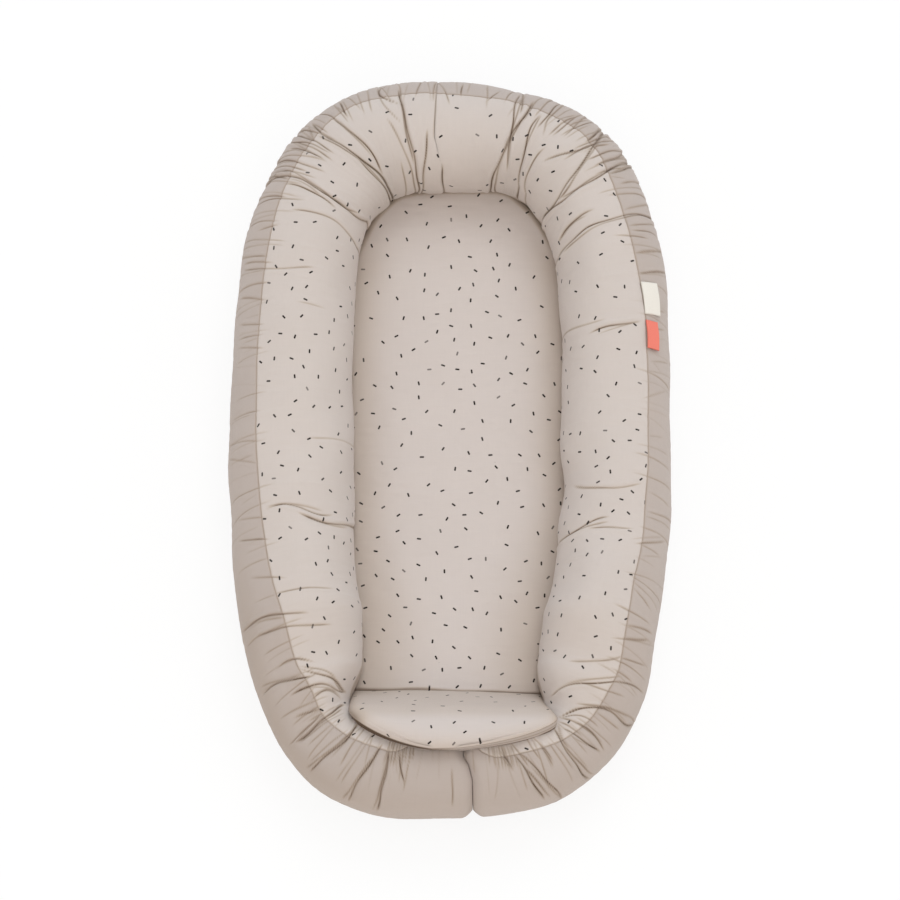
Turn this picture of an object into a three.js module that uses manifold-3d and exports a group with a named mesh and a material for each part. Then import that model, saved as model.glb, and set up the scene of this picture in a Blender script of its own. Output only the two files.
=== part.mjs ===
// Infant lounger: an oval nest with one long stuffed roll around a thin quilted floor, and a loose
// foam pad inside. The roll's two ends meet at the foot, where they can be spread apart.
// Millimetres; X is the width, +Y points to the head end, +Z is up, and the nest lies on Z = 0.
import * as THREE from "three";
import Module from "manifold-3d";
import { mergeVertices } from "three/addons/utils/BufferGeometryUtils.js";

// Overall size over the fabric. The plan outline is a rounded oval, squarer at the head.
const NEST_WIDTH = 500;
const NEST_LENGTH = 880;
const HEAD_SQUARENESS = 2.9;
const FOOT_SQUARENESS = 2.75;

// Cloth and the space left between two pieces that touch.
const FABRIC = 1.2;
const CLEARANCE = 0.3;
const SEAM_GAP = 0.9;

// The stuffed roll. Shares in the first column run round the outline from the middle of the head,
// over the left side, the foot at 0.5 and the right side. The second column is a share of the radius.
const ROLL_RADIUS = 69;
const ROLL_SINK_SHARE = 0.09;
const ROLL_RADIUS_SHARES = [
  [0, 0.9], [0.08, 0.93], [0.15, 1], [0.3, 1.01], [0.345, 1.03], [0.385, 0.84], [0.412, 0.71],
  [0.46, 0.78], [0.54, 0.78], [0.588, 0.72], [0.615, 0.84], [0.652, 1.03], [0.7, 0.93],
  [0.75, 0.9], [0.82, 0.9], [0.92, 0.92], [1, 0.9],
];

// The seam between printed and plain cloth, in degrees from the roll's top towards the outside.
const SEAM_SHARES = [
  [0, 31], [0.08, 33], [0.15, 37], [0.22, 32], [0.27, 29], [0.3, 25], [0.34, 17], [0.38, 11],
  [0.44, 8], [0.468, 4], [0.484, -35], [0.525, -35], [0.535, 5], [0.56, 9], [0.62, 11],
  [0.66, 17], [0.7, 25], [0.73, 29], [0.78, 32], [0.85, 37], [0.92, 33], [1, 31],
];

// The cloth ends on both sides of the roll's flat underside, this far round from its top.
const UNDERSIDE_ANGLE = THREE.MathUtils.degToRad(152);
const FLAT_ANGLE = THREE.MathUtils.degToRad(160);

// Deep creases across the roll: where along the outline, and the depth as a share of the radius.
const CREASE_HALF_WIDTH = 10;
const CREASE_SHARES = [
  [0.024, 0.08], [0.078, 0.07], [0.115, 0.08], [0.294, 0.06], [0.698, 0.07], [0.862, 0.06],
  [0.898, 0.08], [0.948, 0.06], [0.968, 0.08], [0.398, 0.07], [0.428, 0.06], [0.452, 0.06],
  [0.545, 0.06], [0.57, 0.07], [0.6, 0.06],
];

// Sections of the roll that are drawn where no crease is near.
const SECTION_SHARES = [
  0, 0.045, 0.06, 0.095, 0.135, 0.165, 0.205, 0.25, 0.275, 0.325, 0.345, 0.362, 0.412, 0.44, 0.468,
  0.484, 0.5, 0.525, 0.535, 0.585, 0.612, 0.638, 0.655, 0.675, 0.725, 0.75, 0.795, 0.835, 0.88,
  0.915, 0.93, 0.985,
];
const LEAST_STEP = 11;

// The two loose ends of the roll at the foot: where they start, and where their faces meet.
const END_START_SHARE = 0.377;
const MEETING_SHARE = 0.5107;
const END_GAP = 1;
const MEETING_GAP = 0.4;
const END_ROUNDING = 14;
const END_DROP = 9;
const END_STEP_SHARES = [0.3, 0.6, 1];

// The floor of the nest: plain base, wadding and printed top, sewn in along the roll.
const WADDING = 4;
const FLOOR_EDGE_GAP = 1;
const FLOOR_STEPS = 18;

// The loose pad. Its foot end is folded up and lies over the foot roll as a lip.
const PAD_THICKNESS = 23;
const PAD_CROWN = 2.5;
const PAD_CLEARANCE = 5;
const PAD_HEAD_CUT = 1;
const PAD_HEAD_ROUNDING = 160;
const PAD_WAIST_SHARE = 0.96;
const PAD_WAIST_EASE = 60;
const FOLD_RADIUS = 16;
const FOLD_ANGLE = THREE.MathUtils.degToRad(55);
const LIP_END_ANGLE = THREE.MathUtils.degToRad(6);
const LIP_HALF_WIDTH = 100;
const LIP_EASE = 26;
const LIP_ROUNDING = 52;
const LIP_SQUARENESS = 2.2;
const LIP_GAP = 5.5;
const LIP_CORNER_RISE = 15;
const LIP_END_SHARE = 0.1;
const OPENING_STEPS = 60;
const SLOPE_STEP_SHARE = 0.0005;
const HEAD_STEP_SHARES = [0, 0.015, 0.04, 0.08, 0.14, 0.23, 0.37, 0.55, 0.77];
const LIP_STEP_SHARES = [0.95, 0.7, 0.48, 0.28, 0.12, 0];
// Half of the pad's section, from the middle of its top to the middle of its underside, as shares of
// its half width and of its half thickness.
const PAD_SECTION_SHARES = [
  [0, 1], [0.55, 1], [0.86, 0.94], [0.965, 0.76], [1, 0.45],
  [1, -0.45], [0.965, -0.78], [0.86, -1], [0.45, -1], [0, -1],
];

// The zip in the pad's right side: tape, teeth, slider and pull, hidden in a recess.
const RECESS_ROOM = 1;
const ZIP_FROM_HEAD = 160;
const ZIP_LENGTH = 210;
const TAPE_OVERHANG = 5;
const TAPE_WIDTH = 9;
const TAPE_THICKNESS = 0.8;
const CORE_WIDTH = 2.2;
const TOOTH_REACH = 1.3;
const TOOTH_PITCH = 6;
const TOOTH_SHARE = 0.6;
const CHAIN_THICKNESS = 1.2;
const STOP_LENGTH = 4;
const SLIDER_LENGTH = 10;
const SLIDER_WALL = 0.9;
const BRIDGE_SPAN = 7;
const BRIDGE_WIDTH = 1.6;
const BRIDGE_BAR = 0.8;
const PULL_THICKNESS = 1;
const PULL_WIDTH = 5;
const PULL_LENGTH = 15;
const PULL_BAR = 1;
const PULL_SLOT = 5.6;
const PULL_PLAY = 0.4;

// The two woven tabs sewn into the right side's seam.
const TAB_THICKNESS = 0.6;
const TAB_LIFT = 0.4;
const CREAM_TAB = { share: 0.8195, length: 36, width: 18 };
const CORAL_TAB = { share: 0.8015, length: 32, width: 12 };

const wasm = await Module();
wasm.setup();

const spread = (from, to, steps) =>
  Array.from({ length: steps + 1 }, (_, i) => from + ((to - from) * i) / steps);
const ease = (x) => THREE.MathUtils.smoothstep(x, 0, 1);

// Value of a table at a share of the outline, eased from row to row.
function readTable(table, share) {
  const wrapped = share - Math.floor(share);
  const next = table.findIndex(([at]) => at >= wrapped);
  if (next <= 0) return table[0][1];
  const [from, low] = table[next - 1];
  const [to, high] = table[next];
  return low + (high - low) * ease((wrapped - from) / (to - from));
}

// Superellipse outline, read by its share of the way round.
class Outline extends THREE.Curve {
  getPoint(t, target = new THREE.Vector3()) {
    const sine = Math.sin(2 * Math.PI * t);
    const cosine = Math.cos(2 * Math.PI * t);
    const power = cosine > 0 ? HEAD_SQUARENESS : FOOT_SQUARENESS;
    const across = Math.abs((2 * sine) / NEST_WIDTH) ** power;
    const along = Math.abs((2 * cosine) / NEST_LENGTH) ** power;
    const reach = (across + along) ** (-1 / power);
    return target.set(-sine * reach, cosine * reach, 0);
  }
}
const outline = new Outline();
outline.arcLengthDivisions = 1440;
const OUTLINE_LENGTH = outline.getLength();

// The roll at a share of the outline: outermost point, outward direction, radius and seam angle.
function rollAt(share) {
  const edge = outline.getPointAt(share - Math.floor(share));
  const power = (edge.y > 0 ? HEAD_SQUARENESS : FOOT_SQUARENESS) - 1;
  const slope = (value, size) => (Math.sign(value) * Math.abs((2 * value) / size) ** power) / size;
  const outward = new THREE.Vector3(slope(edge.x, NEST_WIDTH), slope(edge.y, NEST_LENGTH), 0);
  const radius = ROLL_RADIUS * readTable(ROLL_RADIUS_SHARES, share);
  const seam = THREE.MathUtils.degToRad(readTable(SEAM_SHARES, share));
  return { edge, outward: outward.normalize(), radius, seam };
}

// How far a crease draws the cloth in at a share of the outline, as a share of the radius.
function creaseShare(share) {
  const wrapped = share - Math.floor(share);
  const half = CREASE_HALF_WIDTH / OUTLINE_LENGTH;
  const depths = CREASE_SHARES.map(
    ([at, depth]) => depth * Math.max(0, 1 - Math.abs(wrapped - at) / half),
  );
  return Math.max(...depths);
}

// The rounded rim where the roll's end faces meet at the foot.
function endDrop(share) {
  const distance = Math.abs(share - MEETING_SHARE) * OUTLINE_LENGTH;
  return END_DROP * Math.max(0, 1 - distance / END_ROUNDING) ** 2;
}

// A point of the roll at an angle from its top, positive outwards, and a depth under its surface.
function onRoll(share, angle, depth) {
  const { edge, outward, radius } = rollAt(share);
  const reach = radius * (1 - creaseShare(share)) - endDrop(share) - depth;
  const point = edge.clone().addScaledVector(outward, reach * Math.sin(angle) - radius);
  point.z = Math.max(radius * (1 - ROLL_SINK_SHARE) + reach * Math.cos(angle), depth);
  return point;
}

// Half the roll's width at a height above the floor.
function halfWidthAt(radius, height) {
  const rise = radius * (1 - ROLL_SINK_SHARE) - height;
  return Math.sqrt(radius ** 2 - rise ** 2);
}

// Sections between two shares: the ends, each crease with its two lips, and the rest between them.
function sectionShares(from, to, extra = []) {
  const half = CREASE_HALF_WIDTH / OUTLINE_LENGTH;
  const inside = (share) => share > from && share < to;
  const wrap = (shares) => shares.flatMap((share) => [share - 1, share]).filter(inside);
  const creases = wrap(CREASE_SHARES.flatMap(([at]) => [at - half, at, at + half]));
  const kept = [from, ...creases, ...extra, to];
  const apart = (share) =>
    kept.every((other) => Math.abs(other - share) * OUTLINE_LENGTH > LEAST_STEP);
  return [...kept, ...wrap(SECTION_SHARES).filter(apart)].sort((a, b) => a - b);
}

// Angles of the cloth round the roll, from the seam: printed inwards, plain outwards.
function clothAngles(share, closed) {
  const { seam } = rollAt(share);
  const printed = spread(seam, -UNDERSIDE_ANGLE, 8);
  const last = closed ? 2 * Math.PI - UNDERSIDE_ANGLE : UNDERSIDE_ANGLE;
  const plain = [
    ...spread(seam, Math.PI / 2, 4),
    ...spread(Math.PI / 2, last, closed ? 5 : 3).slice(1),
  ];
  return { printed, plain };
}

// Moves the first and the last angle of a cloth back from the seams by half a gap.
function trimmed(angles, share, last = true) {
  const turn = SEAM_GAP / 2 / rollAt(share).radius;
  const sign = Math.sign(angles.at(-1) - angles[0]);
  return angles.map((angle, i) => {
    if (i === 0) return angle + sign * turn;
    return last && i === angles.length - 1 ? angle - sign * turn : angle;
  });
}

// One thickness of cloth across the roll, as a closed ring of points.
function clothSection(share, angles, depth = 0, thickness = FABRIC) {
  const outside = angles.map((angle) => onRoll(share, angle, depth));
  const inside = angles.map((angle) => onRoll(share, angle, depth + thickness));
  return [...outside, ...inside.reverse()];
}

// Cloth along the roll. Its angles run inwards on one face and outwards on the other.
function clothLoft(sections, inwards) {
  const half = sections[0].length / 2;
  return loft(sections, (i) => (inwards ? i >= half : i < half));
}

// A full round section of the roll under the cloth.
function fillingSection(share, closed) {
  const { printed, plain } = clothAngles(share, closed);
  const under = closed ? [] : [-FLAT_ANGLE, FLAT_ANGLE];
  const outer = closed ? plain.slice(1, -1) : plain.slice(1);
  return [...printed, ...under, ...outer.reverse()].map((angle) =>
    onRoll(share, angle, FABRIC + CLEARANCE),
  );
}

// Flat triangles that close the end of a skin, found in the plane that the end faces.
function closeEnd(section, first) {
  const normal = new THREE.Vector3();
  section.forEach((point, i) => {
    const next = section[(i + 1) % section.length];
    normal.add(new THREE.Vector3().crossVectors(point, next));
  });
  const side = Math.abs(normal.x) > Math.abs(normal.y);
  const flat = Math.abs(normal.z) > Math.max(Math.abs(normal.x), Math.abs(normal.y));
  const plan = section.map((p) => {
    if (flat) return new THREE.Vector2(p.x, p.y);
    return side ? new THREE.Vector2(p.y, p.z) : new THREE.Vector2(p.x, p.z);
  });
  const faces = THREE.ShapeUtils.triangulateShape(plan, []);
  const turn = THREE.ShapeUtils.isClockWise(plan);
  return faces.map(([a, b, c]) => (turn ? [a, c, b] : [a, b, c]).map((i) => first + i));
}

const signedVolume = (points, faces) =>
  faces.reduce((sum, [a, b, c]) => {
    const cross = new THREE.Vector3().crossVectors(points[b], points[c]);
    return sum + points[a].dot(cross);
  }, 0);

// Closed skin through a row of sections that all have the same number of points. Each four-sided
// field is split along one diagonal, and along the other one where crossed says so, so that two
// skins that lie on each other are split alike.
function loft(sections, crossed = () => false) {
  const count = sections[0].length;
  const points = sections.flat();
  const faces = [];
  for (let row = 0; row < sections.length - 1; row++) {
    for (let i = 0; i < count; i++) {
      const [a, b] = [row * count + i, row * count + ((i + 1) % count)];
      const [c, d] = [a + count, b + count];
      faces.push(...(crossed(i) ? [[a, b, c], [b, d, c]] : [[a, b, d], [a, d, c]]));
    }
  }
  const ends = [closeEnd(sections[0], 0), closeEnd(sections.at(-1), points.length - count)];
  for (const end of ends) {
    // The side that the skin uses along this end's first edge decides which way the end is turned.
    const edges = new Set(faces.flatMap(([a, b, c]) => [`${a} ${b}`, `${b} ${c}`, `${c} ${a}`]));
    const clash = end.some(([a, b, c]) =>
      [`${a} ${b}`, `${b} ${c}`, `${c} ${a}`].some((edge) => edges.has(edge)),
    );
    faces.push(...(clash ? end.map(([a, b, c]) => [a, c, b]) : end));
  }
  const outward = signedVolume(points, faces) < 0 ? faces.map(([a, b, c]) => [a, c, b]) : faces;
  const geometry = new THREE.BufferGeometry();
  const positions = points.flatMap((point) => point.toArray());
  geometry.setAttribute("position", new THREE.Float32BufferAttribute(positions, 3));
  return geometry.setIndex(outward.flat());
}

// Solids for cutting and joining.
function toSolid(geometry) {
  const bare = geometry.clone();
  bare.deleteAttribute("normal");
  bare.deleteAttribute("uv");
  const merged = mergeVertices(bare);
  const mesh = new wasm.Mesh({
    numProp: 3,
    vertProperties: Float32Array.from(merged.attributes.position.array),
    triVerts: Uint32Array.from(merged.index.array),
  });
  return new wasm.Manifold(mesh);
}

function fromSolid(solid) {
  const mesh = solid.getMesh();
  const geometry = new THREE.BufferGeometry();
  geometry.setAttribute("position", new THREE.BufferAttribute(mesh.vertProperties, 3));
  return geometry.setIndex(new THREE.BufferAttribute(mesh.triVerts, 1));
}

// Finishes.
const finish = (color, roughness, metalness = 0) => ({ color, roughness, metalness });
const PRINTED_COTTON = finish(0xd1c7c1, 0.9);
const PLAIN_COTTON = finish(0xbbaea8, 0.9);
const POLYESTER_FIBRE = finish(0xf4f3f0, 1);
const FOAM = finish(0xf1e9cf, 1);
const CREAM_TAPE = finish(0xe9e3d6, 0.8);
const CORAL_TAPE = finish(0xf08170, 0.7);
const ZIP_NYLON = finish(0xc4b8ae, 0.6);
const ZIP_METAL = finish(0xb9b4ab, 0.35, 1);

const nest = new THREE.Group();

function addPiece(name, geometry, look) {
  const mesh = new THREE.Mesh(geometry, new THREE.MeshStandardMaterial(look));
  mesh.name = name;
  nest.add(mesh);
  return mesh;
}

// The part of the roll that is sewn to the floor, from one side of the foot round the head.
const bodyShares = sectionShares(-END_START_SHARE, END_START_SHARE);
addPiece(
  "bumper_filling",
  loft(bodyShares.map((share) => fillingSection(share, false))),
  POLYESTER_FIBRE,
);
const CLOTHS = [["printed", PRINTED_COTTON], ["plain", PLAIN_COTTON]];
for (const [cloth, look] of CLOTHS) {
  const angles = (share) => trimmed(clothAngles(share, false)[cloth], share, false);
  const sections = bodyShares.map((share) => clothSection(share, angles(share)));
  addPiece(`${cloth}_sleeve`, clothLoft(sections, cloth === "printed"), look);
}

// A loose end of the roll: filling in a closed sleeve, with a round cap on the face that meets the
// other end. The left one runs towards the meeting face and the right one away from it.
function addRollEnd(side, start, sign) {
  const back = (distance) => MEETING_SHARE - (sign * distance) / OUTLINE_LENGTH;
  const root = start + (sign * END_GAP) / OUTLINE_LENGTH;
  const face = back(MEETING_GAP / 2);
  const capBack = back(MEETING_GAP / 2 + FABRIC);
  const fillingEnd = back(MEETING_GAP / 2 + FABRIC + CLEARANCE);
  const rim = END_STEP_SHARES.map((step) => back(step * END_ROUNDING));
  const [low, high] = [Math.min(root, face), Math.max(root, face)];
  const shares = sectionShares(low, high, [...rim, fillingEnd]);
  const inFilling = (share) => (fillingEnd - share) * sign >= 0;
  addPiece(
    `bumper_filling_${side}_end`,
    loft(shares.filter(inFilling).map((share) => fillingSection(share, true))),
    POLYESTER_FIBRE,
  );
  for (const [cloth, look] of CLOTHS) {
    const section = (share) => clothSection(share, trimmed(clothAngles(share, true)[cloth], share));
    addPiece(`${cloth}_sleeve_${side}_end`, clothLoft(shares.map(section), cloth === "printed"), look);
  }
  addPiece(
    `end_cap_${side}`,
    loft([capBack, face].map((share) => fillingSection(share, true))),
    PLAIN_COTTON,
  );
}
addRollEnd("left", END_START_SHARE, 1);
addRollEnd("right", 1 - END_START_SHARE, -1);

// A flat layer through points of the plan.
function floorLayer(points, bottom, thickness) {
  const shape = new THREE.Shape(points.map((point) => new THREE.Vector2(point.x, point.y)));
  const geometry = new THREE.ExtrudeGeometry(shape, { depth: thickness, bevelEnabled: false });
  return geometry.translate(0, 0, bottom);
}

// A point of the plan at a distance outside the roll's middle line.
function besideLine(share, offset) {
  const { edge, outward, radius } = rollAt(share);
  return edge.clone().addScaledVector(outward, offset(radius) - radius);
}

// The base reaches under the sewn roll, and stops short of the two loose ends.
const underRoll = (radius) => radius * Math.sin(UNDERSIDE_ANGLE) + FLOOR_EDGE_GAP;
const shortOfRoll = (radius) => -underRoll(radius);
addPiece(
  "base_panel",
  floorLayer(
    [
      ...spread(-END_START_SHARE, END_START_SHARE, 3 * FLOOR_STEPS).map((share) =>
        besideLine(share, underRoll),
      ),
      ...spread(END_START_SHARE, 1 - END_START_SHARE, FLOOR_STEPS).map((share) =>
        besideLine(share, shortOfRoll),
      ),
    ],
    0,
    FABRIC,
  ),
  PLAIN_COTTON,
);

// The wadding and the printed floor fit inside the roll.
const WADDING_BOTTOM = FABRIC + CLEARANCE;
const PANEL_BOTTOM = WADDING_BOTTOM + WADDING + CLEARANCE;
const PANEL_TOP = PANEL_BOTTOM + FABRIC;
const insideRoll = (radius) => -halfWidthAt(radius, PANEL_TOP) - FLOOR_EDGE_GAP;
const floorEdge = spread(0, 1, 4 * FLOOR_STEPS)
  .slice(1)
  .map((share) => besideLine(share, insideRoll));
addPiece("floor_wadding", floorLayer(floorEdge, WADDING_BOTTOM, WADDING), POLYESTER_FIBRE);
addPiece("floor_panel", floorLayer(floorEdge, PANEL_BOTTOM, FABRIC), PRINTED_COTTON);

// A woven tab: folded tape that starts in the seam and lies on the outside of the roll.
function addTab(name, { share, length, width }, look) {
  const half = length / 2 / OUTLINE_LENGTH;
  const section = (at) => {
    const { seam, radius } = rollAt(at);
    const angles = spread(seam, seam + width / radius, 3);
    return clothSection(at, angles, -TAB_LIFT - TAB_THICKNESS, TAB_THICKNESS);
  };
  addPiece(name, clothLoft([share - half, share, share + half].map(section), false), look);
}
addTab("cream_tab", CREAM_TAB, CREAM_TAPE);
addTab("coral_tab", CORAL_TAB, CORAL_TAPE);

// The opening that the roll leaves for the pad, less the pad's clearance, as one row of points on
// each side from the head to the pad's waist.
function openingSide(shares) {
  return shares.map((share) => {
    const { edge, outward, radius } = rollAt(share);
    return edge.clone().addScaledVector(outward, -2 * radius - PAD_CLEARANCE);
  });
}
const openingLeft = openingSide(spread(0, END_START_SHARE, OPENING_STEPS));
const openingRight = openingSide(spread(1, 1 - END_START_SHARE, OPENING_STEPS));
function openingAt(side, y) {
  const next = Math.max(1, side.findIndex((point) => point.y <= y));
  const [from, to] = [side[next - 1], side[next]];
  return THREE.MathUtils.mapLinear(y, from.y, to.y, from.x, to.x);
}
const footHalf = openingRight.filter((point) => point.y < 0);
const narrowest = footHalf.reduce((best, point) => (point.x < best.x ? point : best));
const PAD_WAIST = PAD_WAIST_SHARE * narrowest.x;

// The pad's length in plan, and the floor of the recess, as deep as the zip stands out of it.
const COVER_DEPTH = FABRIC + CLEARANCE;
const PAD_BOTTOM = PANEL_TOP + CLEARANCE;
const PAD_MIDDLE = PAD_BOTTOM + PAD_THICKNESS / 2;
const PAD_HEAD = openingLeft[0].y - PAD_HEAD_CUT;
const SLIDER_BOTTOM = CLEARANCE + TAPE_THICKNESS + CLEARANCE;
const SLIDER_TOP = SLIDER_BOTTOM + CHAIN_THICKNESS + CLEARANCE + SLIDER_WALL;
const BRIDGE_HEIGHT = PULL_THICKNESS + 2 * CLEARANCE + BRIDGE_BAR;
const ZIP_HEAD = PAD_HEAD - ZIP_FROM_HEAD;
const ZIP_FOOT = ZIP_HEAD - ZIP_LENGTH;
const ZIP_SEAT = openingAt(openingRight, ZIP_HEAD + TAPE_OVERHANG) - SLIDER_TOP - BRIDGE_HEIGHT;

// The pad's middle line: flat on the floor, up in a fold, and over the foot roll.
const FOOT_RADIUS = rollAt(0.5).radius;
const FOOT_ROLL = new THREE.Vector2(
  FOOT_RADIUS - NEST_LENGTH / 2,
  FOOT_RADIUS * (1 - ROLL_SINK_SHARE),
);
const WRAP_RADIUS = FOOT_RADIUS + LIP_GAP + PAD_THICKNESS / 2;
const RISER_TOP = new THREE.Vector2(Math.sin(FOLD_ANGLE), Math.cos(FOLD_ANGLE))
  .multiplyScalar(WRAP_RADIUS)
  .add(FOOT_ROLL);
const RISER_LENGTH = (RISER_TOP.y - PAD_MIDDLE) / Math.sin(FOLD_ANGLE);
const FOLD_REACH = FOLD_RADIUS * Math.tan(FOLD_ANGLE / 2);
const FLAT_LENGTH = PAD_HEAD - RISER_TOP.x - RISER_LENGTH * Math.cos(FOLD_ANGLE) - FOLD_REACH;
const PAD_RUN = [
  { length: FLAT_LENGTH, turn: 0 },
  { length: FOLD_RADIUS * FOLD_ANGLE, turn: FOLD_ANGLE },
  { length: RISER_LENGTH - FOLD_REACH, turn: 0 },
  { length: WRAP_RADIUS * (FOLD_ANGLE - LIP_END_ANGLE), turn: LIP_END_ANGLE - FOLD_ANGLE },
];
const PAD_LENGTH = PAD_RUN.reduce((sum, run) => sum + run.length, 0);
const [FLAT_RUN, FOLD_RUN, RISER_RUN] = PAD_RUN.map((run) => run.length);
const LIP_START = FLAT_RUN + FOLD_RUN + RISER_RUN;

// Place and tilt of the middle line at a distance from the head end.
function padLine(distance) {
  let [y, z, tilt, left] = [PAD_HEAD, PAD_MIDDLE, 0, distance];
  PAD_RUN.forEach(({ length, turn }, i) => {
    const last = i === PAD_RUN.length - 1;
    const part = last ? left : Math.min(left, length);
    if (turn) {
      const radius = length / turn;
      const next = tilt + part / radius;
      y -= radius * (Math.sin(next) - Math.sin(tilt));
      z -= radius * (Math.cos(next) - Math.cos(tilt));
      tilt = next;
    } else {
      y -= part * Math.cos(tilt);
      z += part * Math.sin(tilt);
    }
    left -= part;
  });
  return { y, z, tilt };
}

// Both sides of the pad: along the opening, in to the waist, out to the lip, and round its end.
const rounded = (part, power) => (1 - (1 - Math.min(Math.max(part, 0), 1)) ** power) ** (1 / power);
function padSides(distance) {
  const y = Math.max(PAD_HEAD - distance, narrowest.y);
  const waist = ease((narrowest.y + PAD_WAIST_EASE - y) / PAD_WAIST_EASE);
  const lip = ease((distance - (LIP_START - LIP_EASE)) / (2 * LIP_EASE));
  const foot = rounded((PAD_LENGTH - distance) / LIP_ROUNDING + LIP_END_SHARE, LIP_SQUARENESS);
  return [openingAt(openingLeft, y), openingAt(openingRight, y)].map((side) => {
    const plain = THREE.MathUtils.lerp(side, Math.sign(side) * PAD_WAIST, waist);
    return THREE.MathUtils.lerp(plain, Math.sign(side) * LIP_HALF_WIDTH, lip) * foot;
  });
}
function padHalfWidth(distance) {
  const [left, right] = padSides(distance);
  return (right - left) / 2;
}
function padCentre(distance) {
  const [left, right] = padSides(distance);
  return (right + left) / 2;
}

const padDistances = [
  ...HEAD_STEP_SHARES.map((share) => share * PAD_HEAD_ROUNDING),
  ...spread(PAD_HEAD_ROUNDING, PAD_HEAD - narrowest.y, 5),
  FLAT_RUN,
  ...spread(FLAT_RUN, FLAT_RUN + FOLD_RUN, 3).slice(1),
  ...spread(FLAT_RUN + FOLD_RUN, LIP_START, 3).slice(1),
  ...LIP_STEP_SHARES.map(
    (share) => PAD_LENGTH - share * Math.min(LIP_ROUNDING, PAD_LENGTH - LIP_START),
  ),
];

// The lip's two sides ride up on the corners of the roll.
function lipRise(distance, across) {
  const part = ease((distance - FLAT_RUN - FOLD_RUN) / (RISER_RUN + LIP_EASE));
  return LIP_CORNER_RISE * part * (across / LIP_HALF_WIDTH) ** 4;
}

// Direction in which the pad's outline is offset at a distance: out to the side and along the pad.
function outlineNormal(distance) {
  if (distance === 0) return { side: 1, along: -1 };
  if (distance === PAD_LENGTH) return { side: 1, along: 1 };
  const step = PAD_LENGTH * SLOPE_STEP_SHARE;
  const change = padHalfWidth(distance + step) - padHalfWidth(distance - step);
  const slope = Math.atan2(change, 2 * step);
  return { side: Math.cos(slope), along: -Math.sin(slope) };
}

// A section of the pad, grown on every side by the same amount.
function padSection(distance, grow) {
  const normal = outlineNormal(distance);
  const { y, z, tilt } = padLine(distance + grow * normal.along);
  const foam = padHalfWidth(distance) - COVER_DEPTH;
  const half = foam + grow * normal.side;
  const right = PAD_SECTION_SHARES.map(([u, v]) => [u, v]);
  const left = right.slice(1, -1).reverse().map(([u, v]) => [-u, v]);
  return [...right, ...left].map(([u, v]) => {
    const crown = v > 0 ? PAD_CROWN * (1 - u * u) - PAD_CROWN : 0;
    const rise = lipRise(distance, u * foam);
    const lift = v * (PAD_THICKNESS / 2 - COVER_DEPTH + grow) + crown + rise;
    return new THREE.Vector3(
      padCentre(distance) + u * half,
      y + lift * Math.sin(tilt),
      z + lift * Math.cos(tilt),
    );
  });
}

// The recess for the zip, as a block that reaches past the pad's side.
function recess(grow) {
  const back = COVER_DEPTH - grow;
  const from = new THREE.Vector3(
    ZIP_SEAT,
    ZIP_FOOT - TAPE_OVERHANG - RECESS_ROOM,
    PAD_MIDDLE - TAPE_WIDTH / 2 - RECESS_ROOM,
  ).subScalar(back);
  const to = new THREE.Vector3(
    NEST_WIDTH / 2,
    ZIP_HEAD + TAPE_OVERHANG + RECESS_ROOM,
    PAD_MIDDLE + TAPE_WIDTH / 2 + RECESS_ROOM,
  ).addScalar(back);
  const size = to.clone().sub(from);
  const middle = from.clone().add(to).divideScalar(2);
  return new THREE.BoxGeometry(...size.toArray()).translate(...middle.toArray());
}
function padSolid(grow) {
  const body = loft(
    padDistances.map((distance) => padSection(distance, grow)),
    (i) => i >= PAD_SECTION_SHARES.length - 1,
  );
  return toSolid(body).subtract(toSolid(recess(grow)));
}

// A slab above or below the pad's middle surface, to part the cover where its seam runs.
const SLAB_SHARES = [-1, -0.86, -0.55, 0, 0.55, 0.86, 1];
function padSlab(sign) {
  const reach = NEST_WIDTH / 2;
  const heights = [(sign * CLEARANCE) / 2, sign * PAD_THICKNESS];
  const section = (distance, extra) => {
    const { y, z, tilt } = padLine(distance + extra);
    const half = padHalfWidth(distance);
    const row = (height) =>
      SLAB_SHARES.map((u) => {
        const lift = height + lipRise(distance, u * half);
        const wide = Math.abs(u) === 1 ? Math.sign(u) * reach : u * half;
        return new THREE.Vector3(
          padCentre(distance) + wide,
          y + lift * Math.sin(tilt),
          z + lift * Math.cos(tilt),
        );
      });
    return [...row(heights[0]), ...row(heights[1]).reverse()];
  };
  return loft(
    padDistances.map((distance) => {
      const past = distance === 0 ? -PAD_THICKNESS : distance === PAD_LENGTH ? PAD_THICKNESS : 0;
      return section(distance, past);
    }),
  );
}

addPiece("pad_foam", fromSolid(padSolid(0)), FOAM);
const coverShell = padSolid(COVER_DEPTH).subtract(padSolid(CLEARANCE));
addPiece(
  "pad_cover_top",
  fromSolid(coverShell.intersect(toSolid(padSlab(1)))),
  PRINTED_COTTON,
);
addPiece(
  "pad_cover_bottom",
  fromSolid(coverShell.intersect(toSolid(padSlab(-1)))),
  PLAIN_COTTON,
);

// Zip pieces are drawn from the side, as Y and Z, and stand out of the pad along X.
const zipSide = new THREE.Matrix4().makeBasis(
  new THREE.Vector3(0, 1, 0),
  new THREE.Vector3(0, 0, 1),
  new THREE.Vector3(1, 0, 0),
);
function standOut(shape, bottom, thickness) {
  const geometry = new THREE.ExtrudeGeometry(shape, { depth: thickness, bevelEnabled: false });
  return geometry.applyMatrix4(zipSide).translate(ZIP_SEAT + bottom, 0, PAD_MIDDLE);
}

// Half circle of points round a middle on the Y axis, turned to the head or to the foot.
const halfRound = (middle, radius, turn) =>
  spread(turn - Math.PI / 2, turn + Math.PI / 2, 6).map(
    (angle) => new THREE.Vector2(middle + radius * Math.cos(angle), radius * Math.sin(angle)),
  );

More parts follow.
